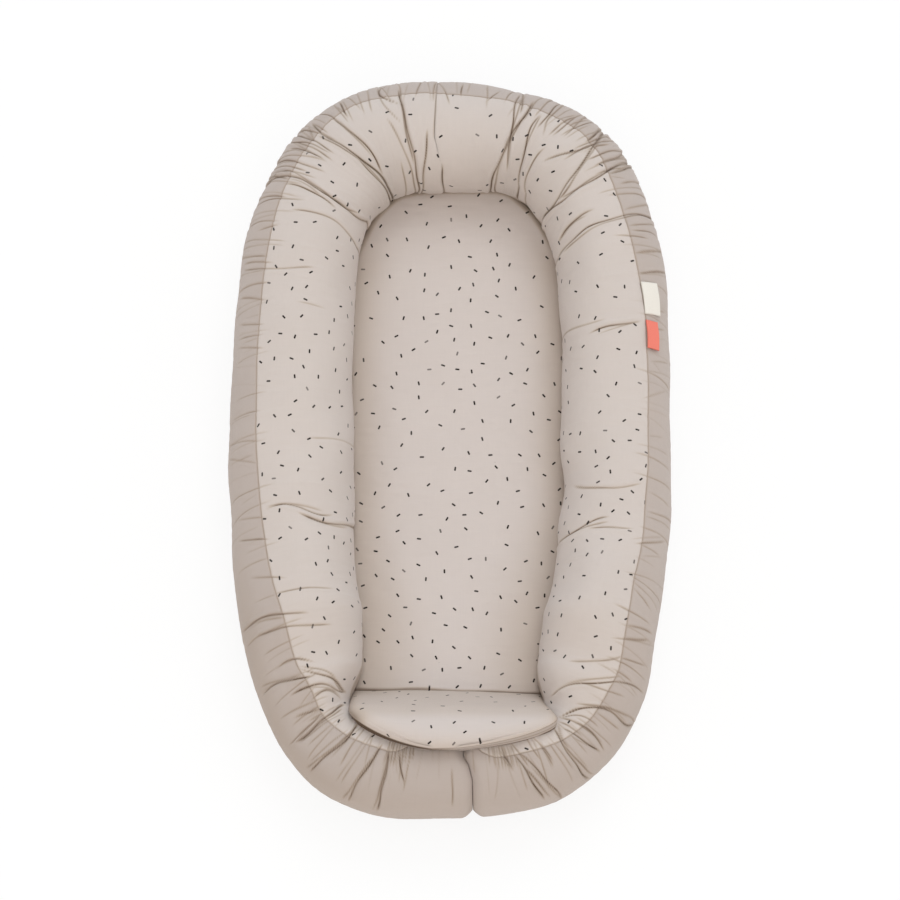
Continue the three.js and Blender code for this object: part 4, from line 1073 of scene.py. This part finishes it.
def pad_side(sign, distance):
    """One side of the pad in plan: round the head, along the opening, past the pinch, and round the
    lip's end by a superellipse."""
    where, side = opening(sign)
    plain = np.interp(PAD_HEAD - distance, where, side)
    rows = np.array(PINCH_ROWS, float).T
    pinched = np.interp(distance, rows[0], rows[1 if sign < 0 else 2])
    wide = plain + (pinched - plain) * smooth((distance - 570) / 30)
    tip = LIP_TIP * smooth((distance - 632) / 48)
    size, power = LIP_ROUNDINGS[sign]
    end = np.clip((PAD_LENGTH - distance) / size + 0.02, 0, 1)
    return tip + (wide - tip) * (1 - (1 - end) ** power) ** (1 / power)


# The pad's grid: rows of distances from the head end, closer together at its ends and in the
# fold, and places across, closer together at its sides.
HEAD_EDGE = min(opening(sign)[0].max() for sign in (-1, 1))
HEAD_ROWS = np.array([0.02, 0.1, 0.3, 0.7, 1.3, 2.1, 3.2, 4.6, 6.4, 8.6, 11.2, 14])
FOOT_ROWS = np.array([12, 10, 8, 6.4, 5, 3.8, 2.7, 1.8, 1.1, 0.5, 0])
pad_rows = np.concatenate([
    PAD_HEAD - HEAD_EDGE + HEAD_ROWS,
    np.arange(2.6, FLAT_RUN - 8, 2.4),
    np.arange(FLAT_RUN - 6, FLAT_RUN + 18, 0.9),
    np.arange(FLAT_RUN + 19, PAD_LENGTH - 14, 2.0),
    PAD_LENGTH - FOOT_ROWS,
])
across = np.linspace(-1, 1, 101)
across = np.sign(across) * (1 - (1 - np.abs(across)) ** 1.35)
left_side, right_side = pad_side(-1, pad_rows)[:, None], pad_side(1, pad_rows)[:, None]
plan_x = (left_side + right_side) / 2 + across[None, :] * (right_side - left_side) / 2
plan_d = np.broadcast_to(pad_rows[:, None], plan_x.shape).copy()


def loop_of(grid):
    """The edge of a grid as one closed row: head end, right side, foot end and left side."""
    return np.concatenate([grid[0, :-1], grid[:-1, -1], grid[-1, :0:-1], grid[:0:-1, 0]])


# How far each point lies from the pad's edge, and which point of the edge is the nearest.
edge_x, edge_d = loop_of(plan_x), loop_of(plan_d)
nearest = np.zeros(plan_x.shape, int)
least = np.full(plan_x.shape, 1e9)
for k, (x, d) in enumerate(zip(edge_x, edge_d)):
    far = (plan_x - x) ** 2 + (plan_d - d) ** 2
    nearest = np.where(far < least, k, nearest)
    least = np.minimum(least, far)
to_edge = np.sqrt(least)


def rounded_edge(distance, size):
    """A quarter circle: 0 at the edge and 1 from the size on."""
    return np.sqrt(1 - (1 - np.clip(distance / size, 0, 1)) ** 2)


def pad_edge(x, distance):
    """Heights over the middle line of the cover's upper seam and of the band's foot, and how far
    the corners lift. Over the lip the foam is pressed thin, most of all on its left side, and its
    two corners ride on the roll by the fourth power across."""
    part = smooth((distance - FLAT_RUN - FOLD_RUN) / (RISER_RUN + 26))
    corner = part * np.abs((x - 4) / 115) ** 4
    seam = SEAM_OVER_MIDDLE + part * (-3.0 - 3.5 * smooth((60 - x) / 120)) + 4 * corner
    raised = 9 + 6 * np.exp(-(((distance - 662) / 22) ** 2)) - 4 * smooth((distance - 680) / 20)
    return seam, BAND_FOOT + raised * corner, corner, part


seam, _, corner, part = pad_edge(plan_x, plan_d)
wrinkle = ripples(plan_x, plan_d, 41, 30, 28, 120, 0.32)
fine = ripples(plan_x * 0.4, plan_d, 43, 24, 8, 26, 0.09)
wander = ripples(plan_x, plan_x, 47, 5, 60, 200, 0.8)
fold_line = plan_d - FOLD_SKEW * plan_x - (FLAT_RUN + FOLD_RUN / 2 + wander)
top_height = seam + (-BAND_FOOT + 4 * corner - seam) * rounded_edge(to_edge, 7 + 8 * part)
top_height += 2 * smooth(to_edge / 70) + (wrinkle + fine) * smooth(to_edge / 14)
top_height -= 3.6 * np.exp(-np.abs(fold_line) / 2.2) * smooth(to_edge / 4)
top_points = bent(plan_x, plan_d, top_height)

# Painted shade on the cover: in the crease of the fold, beside the roll, up the riser, along the
# lip's sides and under the roll at the head.
LIP_BEND = 708
past_fold = fold_line + 6
crease = np.exp(-((past_fold / np.where(past_fold < 0, 1.5, 9.0)) ** 2))
reach = 30 + 22 * smooth((plan_d - 350) / 200)
beside = np.exp(-((to_edge / reach) ** 2))
beside = beside * smooth((plan_d - 30) / 60) * smooth((640 - plan_d) / 50)
riser = smooth((fold_line + 2) / 8) * smooth((LIP_BEND - plan_d) / 18)
shade = 0.55 * crease + 0.16 * beside + 0.1 * part * np.exp(-to_edge / 11) + 0.11 * riser
shade += 0.45 * np.exp(-to_edge / 3) * smooth(fold_line / 8) * smooth((LIP_BEND - plan_d) / 15)
shade += 0.5 * smooth((9 - to_edge) / 6) * smooth((75 - plan_d) / 40)
dashes = scatter_dashes(top_points, 53, 600.0, crease + 0.2 * smooth(fold_line / 20))
plan = np.stack([plan_x, plan_d], -1)
pad_top = grid_object("pad_printed_top", top_points, plan, dashes=dashes, fold=shade)
pad_top.data.flip_normals()
# Painted light: a lighter copy of the printed cotton for the pad's top, to make up for the shade
# that the roll casts on it.
lightened_pad_cotton = cotton("printed_cotton_pad_painted_lighter", linear(213, 203, 198), INK)
dress(pad_top, lightened_pad_cotton, ["pad_cover_top"], "pad")

# The plain side band runs round the whole edge. On the right it folds inwards as a pocket whose
# bottom carries the zip: rows of the pocket are the share of the band's rows, how far in, and the
# height over the middle line.
ZIP_WALL = 109.6
ZIP_START, ZIP_STOP = 154.0, 376.0
POCKET_ROWS = np.array([
    (0, 0, 6.5), (0.08, 0.1, 6.3), (0.2, 0.6, 6.0), (0.3, 1, 5.8), (0.36, 1, 5.6), (0.64, 1, -5.6),
    (0.7, 1, -5.8), (0.8, 0.5, -6.2), (0.9, 0, -7.2), (1, 0, BAND_FOOT),
]).T
edge_way = np.stack([np.gradient(edge_x), np.gradient(edge_d)], -1)
edge_way[0] = [edge_x[1] - edge_x[-1], edge_d[1] - edge_d[-1]]
edge_way[-1] = [edge_x[0] - edge_x[-2], edge_d[0] - edge_d[-2]]
edge_out = np.stack([edge_way[:, 1], -edge_way[:, 0]], -1)
edge_out = edge_out / np.linalg.norm(edge_out, axis=1, keepdims=True)
drop = np.concatenate([[0, 0.03, 0.07, 0.13], np.linspace(0.2, 1, 21)])[:, None]
seam, foot, _, part = pad_edge(edge_x, edge_d)
bulge = 1.5 * np.sin(math.pi * drop) ** 0.7 - 1.2 * np.exp(-drop / 0.03)
bulge = bulge - 2.5 * smooth((drop - 0.7) / 0.3)
bulge = bulge * (1 - part * 0.8) - 2.0 * part * drop
band_x = edge_x[None, :] + edge_out[None, :, 0] * bulge
band_d = edge_d[None, :] + edge_out[None, :, 1] * bulge
band_height = seam + (foot - seam) * drop
pocket = smooth((edge_d - ZIP_START + 6) / 5) * smooth((ZIP_STOP + 6 - edge_d) / 5) * (edge_x > 90)
inward, pocket_height = (np.interp(drop, POCKET_ROWS[0], POCKET_ROWS[k]) for k in (1, 2))
band_x = band_x + pocket * inward * (ZIP_WALL - band_x)
band_height = band_height + pocket * (pocket_height - band_height)
band_points = bent(band_x, band_d, band_height)
around_edge = np.concatenate([[0], np.cumsum(np.hypot(np.diff(edge_x), np.diff(edge_d)))])
band_cloth = np.stack([np.broadcast_to(around_edge, band_x.shape), band_height + 0 * band_x], -1)

# Painted shade on the band over the lip: dark on the left for the crevice under it; on the right
# two dark lines and a painted dark foot; and painted dark at the foot of both tips.
left = smooth((10 - edge_x) / 50)
lines = 0.3 * np.exp(-drop / 0.1) + 0.4 * np.exp(-(((drop - 0.5) / 0.06) ** 2))
tips = smooth((np.abs(edge_x) - 98) / 8) * smooth((edge_d - 606) / 10)
shade = 0.3 * np.exp(-drop / 0.05) + part * left * smooth(drop * 4)
shade = shade + part * (1 - left) * (lines + smooth((drop - 0.8) / 0.15))
shade = shade + 0.9 * tips * smooth((drop - 0.6) / 0.3)
pad_band = grid_object("pad_side_band", band_points, band_cloth, around=True, fold=shade)
dress(pad_band, plain_cotton, ["pad_cover_bottom"], "pad")

# The underside closes the cover: its edge follows the band's foot, and the shift fades inwards.
edge_shift = np.stack([band_x[-1] - edge_x, band_d[-1] - edge_d], -1)
under = plan + edge_shift[nearest] * np.exp(-to_edge / 9)[..., None]
under_height = pad_edge(plan_x, plan_d)[1] - 0.9 * rounded_edge(to_edge, 6)
under_points = bent(under[..., 0], under[..., 1], under_height)
pad_under = grid_object("pad_underside", under_points, under)
dress(pad_under, plain_cotton, ["pad_cover_bottom"], "pad")

# The foam inside: the same slab, thinner by the cover all round and cut back behind the zip.
FOAM_SHARE = 0.76
FOAM_WALL = 107.5
middle = (top_height + under_height) / 2
over_roll = smooth((plan_d - FLAT_RUN) / 60)
foam_x = plan_x * (0.965 - 0.05 * over_roll)
foam_d = plan_d - 8 * over_roll
behind = smooth((plan_d - ZIP_START + 16) / 8) * smooth((ZIP_STOP + 16 - plan_d) / 8)
foam_x = foam_x - behind * np.maximum(foam_x - FOAM_WALL, 0)
upper, lower = (
    bent(foam_x, foam_d, middle + (skin - middle) * FOAM_SHARE)[8:-4, 1:-1:2]
    for skin in (top_height, under_height)
)
foam_rings = np.concatenate([upper, lower[:, ::-1]], axis=1)
pad_core = grid_object("pad_foam_core", capped(foam_rings), around=True, merge=True, turn=True)
foam = fibre("foam", linear(240, 232, 206), 0.9)
dress(pad_core, foam, ["pad_foam"], "pad")

# ---------------------------------------------------------------------------------------------
# The zip in the pad's right side, in the band: nylon tape and teeth, a metal slider and its pull.
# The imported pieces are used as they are, and get their materials here.


def hard(name, cloth, roughness, metallic, grain, size):
    """Moulded nylon or cast metal: an even colour with a fine grain and slight wear."""
    material, tree, output = empty_material(name)
    fine = grained(tree, cloth, size, 3.0, grain, 1 - grain / 2)
    rough = calc(tree, "MULTIPLY_ADD", fine["Height"], 0.2, roughness - 0.1, clamp=True)
    more = {"Metallic": metallic}
    surface(tree, output, fine["Color"], rough, fine["Height"], 0.0001, 0.5, more)
    return material


zip_tape = hard("zip_tape", linear(190, 178, 170), 0.8, 0.0, 0.25, 2200.0)
zip_teeth = hard("zip_teeth", linear(200, 189, 181), 0.5, 0.0, 0.1, 900.0)
zip_metal = hard("zip_metal", linear(196, 192, 184), 0.35, 1.0, 0.12, 1500.0)
for node, material in (
    ("pad_zip_tape", zip_tape),
    ("pad_zip_teeth", zip_teeth),
    ("pad_zip_slider", zip_metal),
    ("pad_zip_pull", zip_metal),
):
    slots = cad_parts[node].data.materials
    if not slots:
        slots.append(material)
    for i in range(len(slots)):
        slots[i] = material

# ---------------------------------------------------------------------------------------------
# Two woven tabs, each a short tape folded over and sewn into the seam on the right side. Both are
# bare. They lie on the plain cloth and stand off it a little at the fold.
TAPE_THICKNESS = 0.4
TAPE_GAP = 1.0
TAPE_STAND = 1.3
RIB_PITCH, TAPE_THREAD_PITCH = 0.0008, 0.0005


def tape_group():
    """Woven tape: close ribs across it and threads along it, each a sine wave, are the height, and
    with fine noise they change the colour a little."""
    group, given, send = empty_group(
        "woven tape", {"Place": "Vector", "Color": "Color"}, {"Color": "Color", "Height": "Float"}
    )
    along, across, _ = axes(group, given["Place"])
    ribs = calc(group, "SINE", calc(group, "MULTIPLY", across, 2 * math.pi / RIB_PITCH))
    threads = calc(group, "SINE", calc(group, "MULTIPLY", along, 2 * math.pi / TAPE_THREAD_PITCH))
    height = calc(group, "MULTIPLY_ADD", ribs, 0.4, calc(group, "MULTIPLY", threads, 0.2))
    speckle = noise(group, given["Place"], 900.0, 2.0)
    factor = calc(group, "MULTIPLY_ADD", speckle, 0.14, 0.93)
    factor = calc(group, "MULTIPLY_ADD", height, 0.05, factor)
    send(scaled(group, given["Color"], factor), height)
    return group


TAPE = tape_group()


def tab(color, share, length, width, swing, cloth):
    """A tape carried from the seam over the roll's outside, round a tight fold and back under
    itself. Its profile runs out, round the fold and back; its length runs along the seam."""
    run = np.linspace(-length / 2, length / 2, 25)[:, None]
    out = np.linspace(0, 1, 16)
    bend = np.linspace(math.pi / 2, -math.pi / 2, 9)[1:-1]
    flat = width - TAPE_GAP / 2
    line = np.concatenate([out * flat, flat + np.cos(bend) * TAPE_GAP / 2, out[::-1] * flat])
    rise = np.concatenate([0 * out + 1, np.sin(bend), 0 * out - 1]) * TAPE_GAP / 2
    way = np.stack([np.gradient(line), np.gradient(rise)])
    aside = np.array([-way[1], way[0]]) / np.linalg.norm(way, axis=0) * TAPE_THICKNESS / 2
    reach = np.concatenate([line + aside[0], (line - aside[0])[::-1]])[None, :]
    height = np.concatenate([rise + aside[1], (rise - aside[1])[::-1]])[None, :]
    places = share + run / OUTLINE_LENGTH + 0 * reach
    lift = TAPE_STAND + height + 1.1 * (reach / width) ** 2 + 0.5 * np.cos(run / length * 5)
    angle = running(SEAM_ROWS, places) - 0.5 + np.degrees(reach / radius_at(places))
    points = on_roll(places + swing * reach / OUTLINE_LENGTH, angle, -lift)
    laid = np.stack(np.broadcast_arrays(run, reach), -1)
    laid = np.concatenate([laid[:1], laid, laid[-1:]])
    piece = grid_object(
        f"{color}_tape_tab", capped(points), laid, around=True, merge=True, turn=True
    )
    material, tree, output = empty_material(f"{color}_tape")
    place = add_node(tree, "ShaderNodeUVMap", uv_map="cloth").outputs[0]
    woven = add_node(
        tree, "ShaderNodeGroup", {"Place": place, "Color": cloth}, node_tree=TAPE
    ).outputs
    surface(tree, output, woven["Color"], 0.75, woven["Height"], 0.0002, 0.7)
    dress(piece, material, [f"{color}_tab"], "nest")


tab("cream", 0.8178, 39.0, 22.0, 0.04, linear(236, 231, 222))
tab("coral", 0.7989, 34.0, 16.0, -0.04, linear(240, 129, 112))
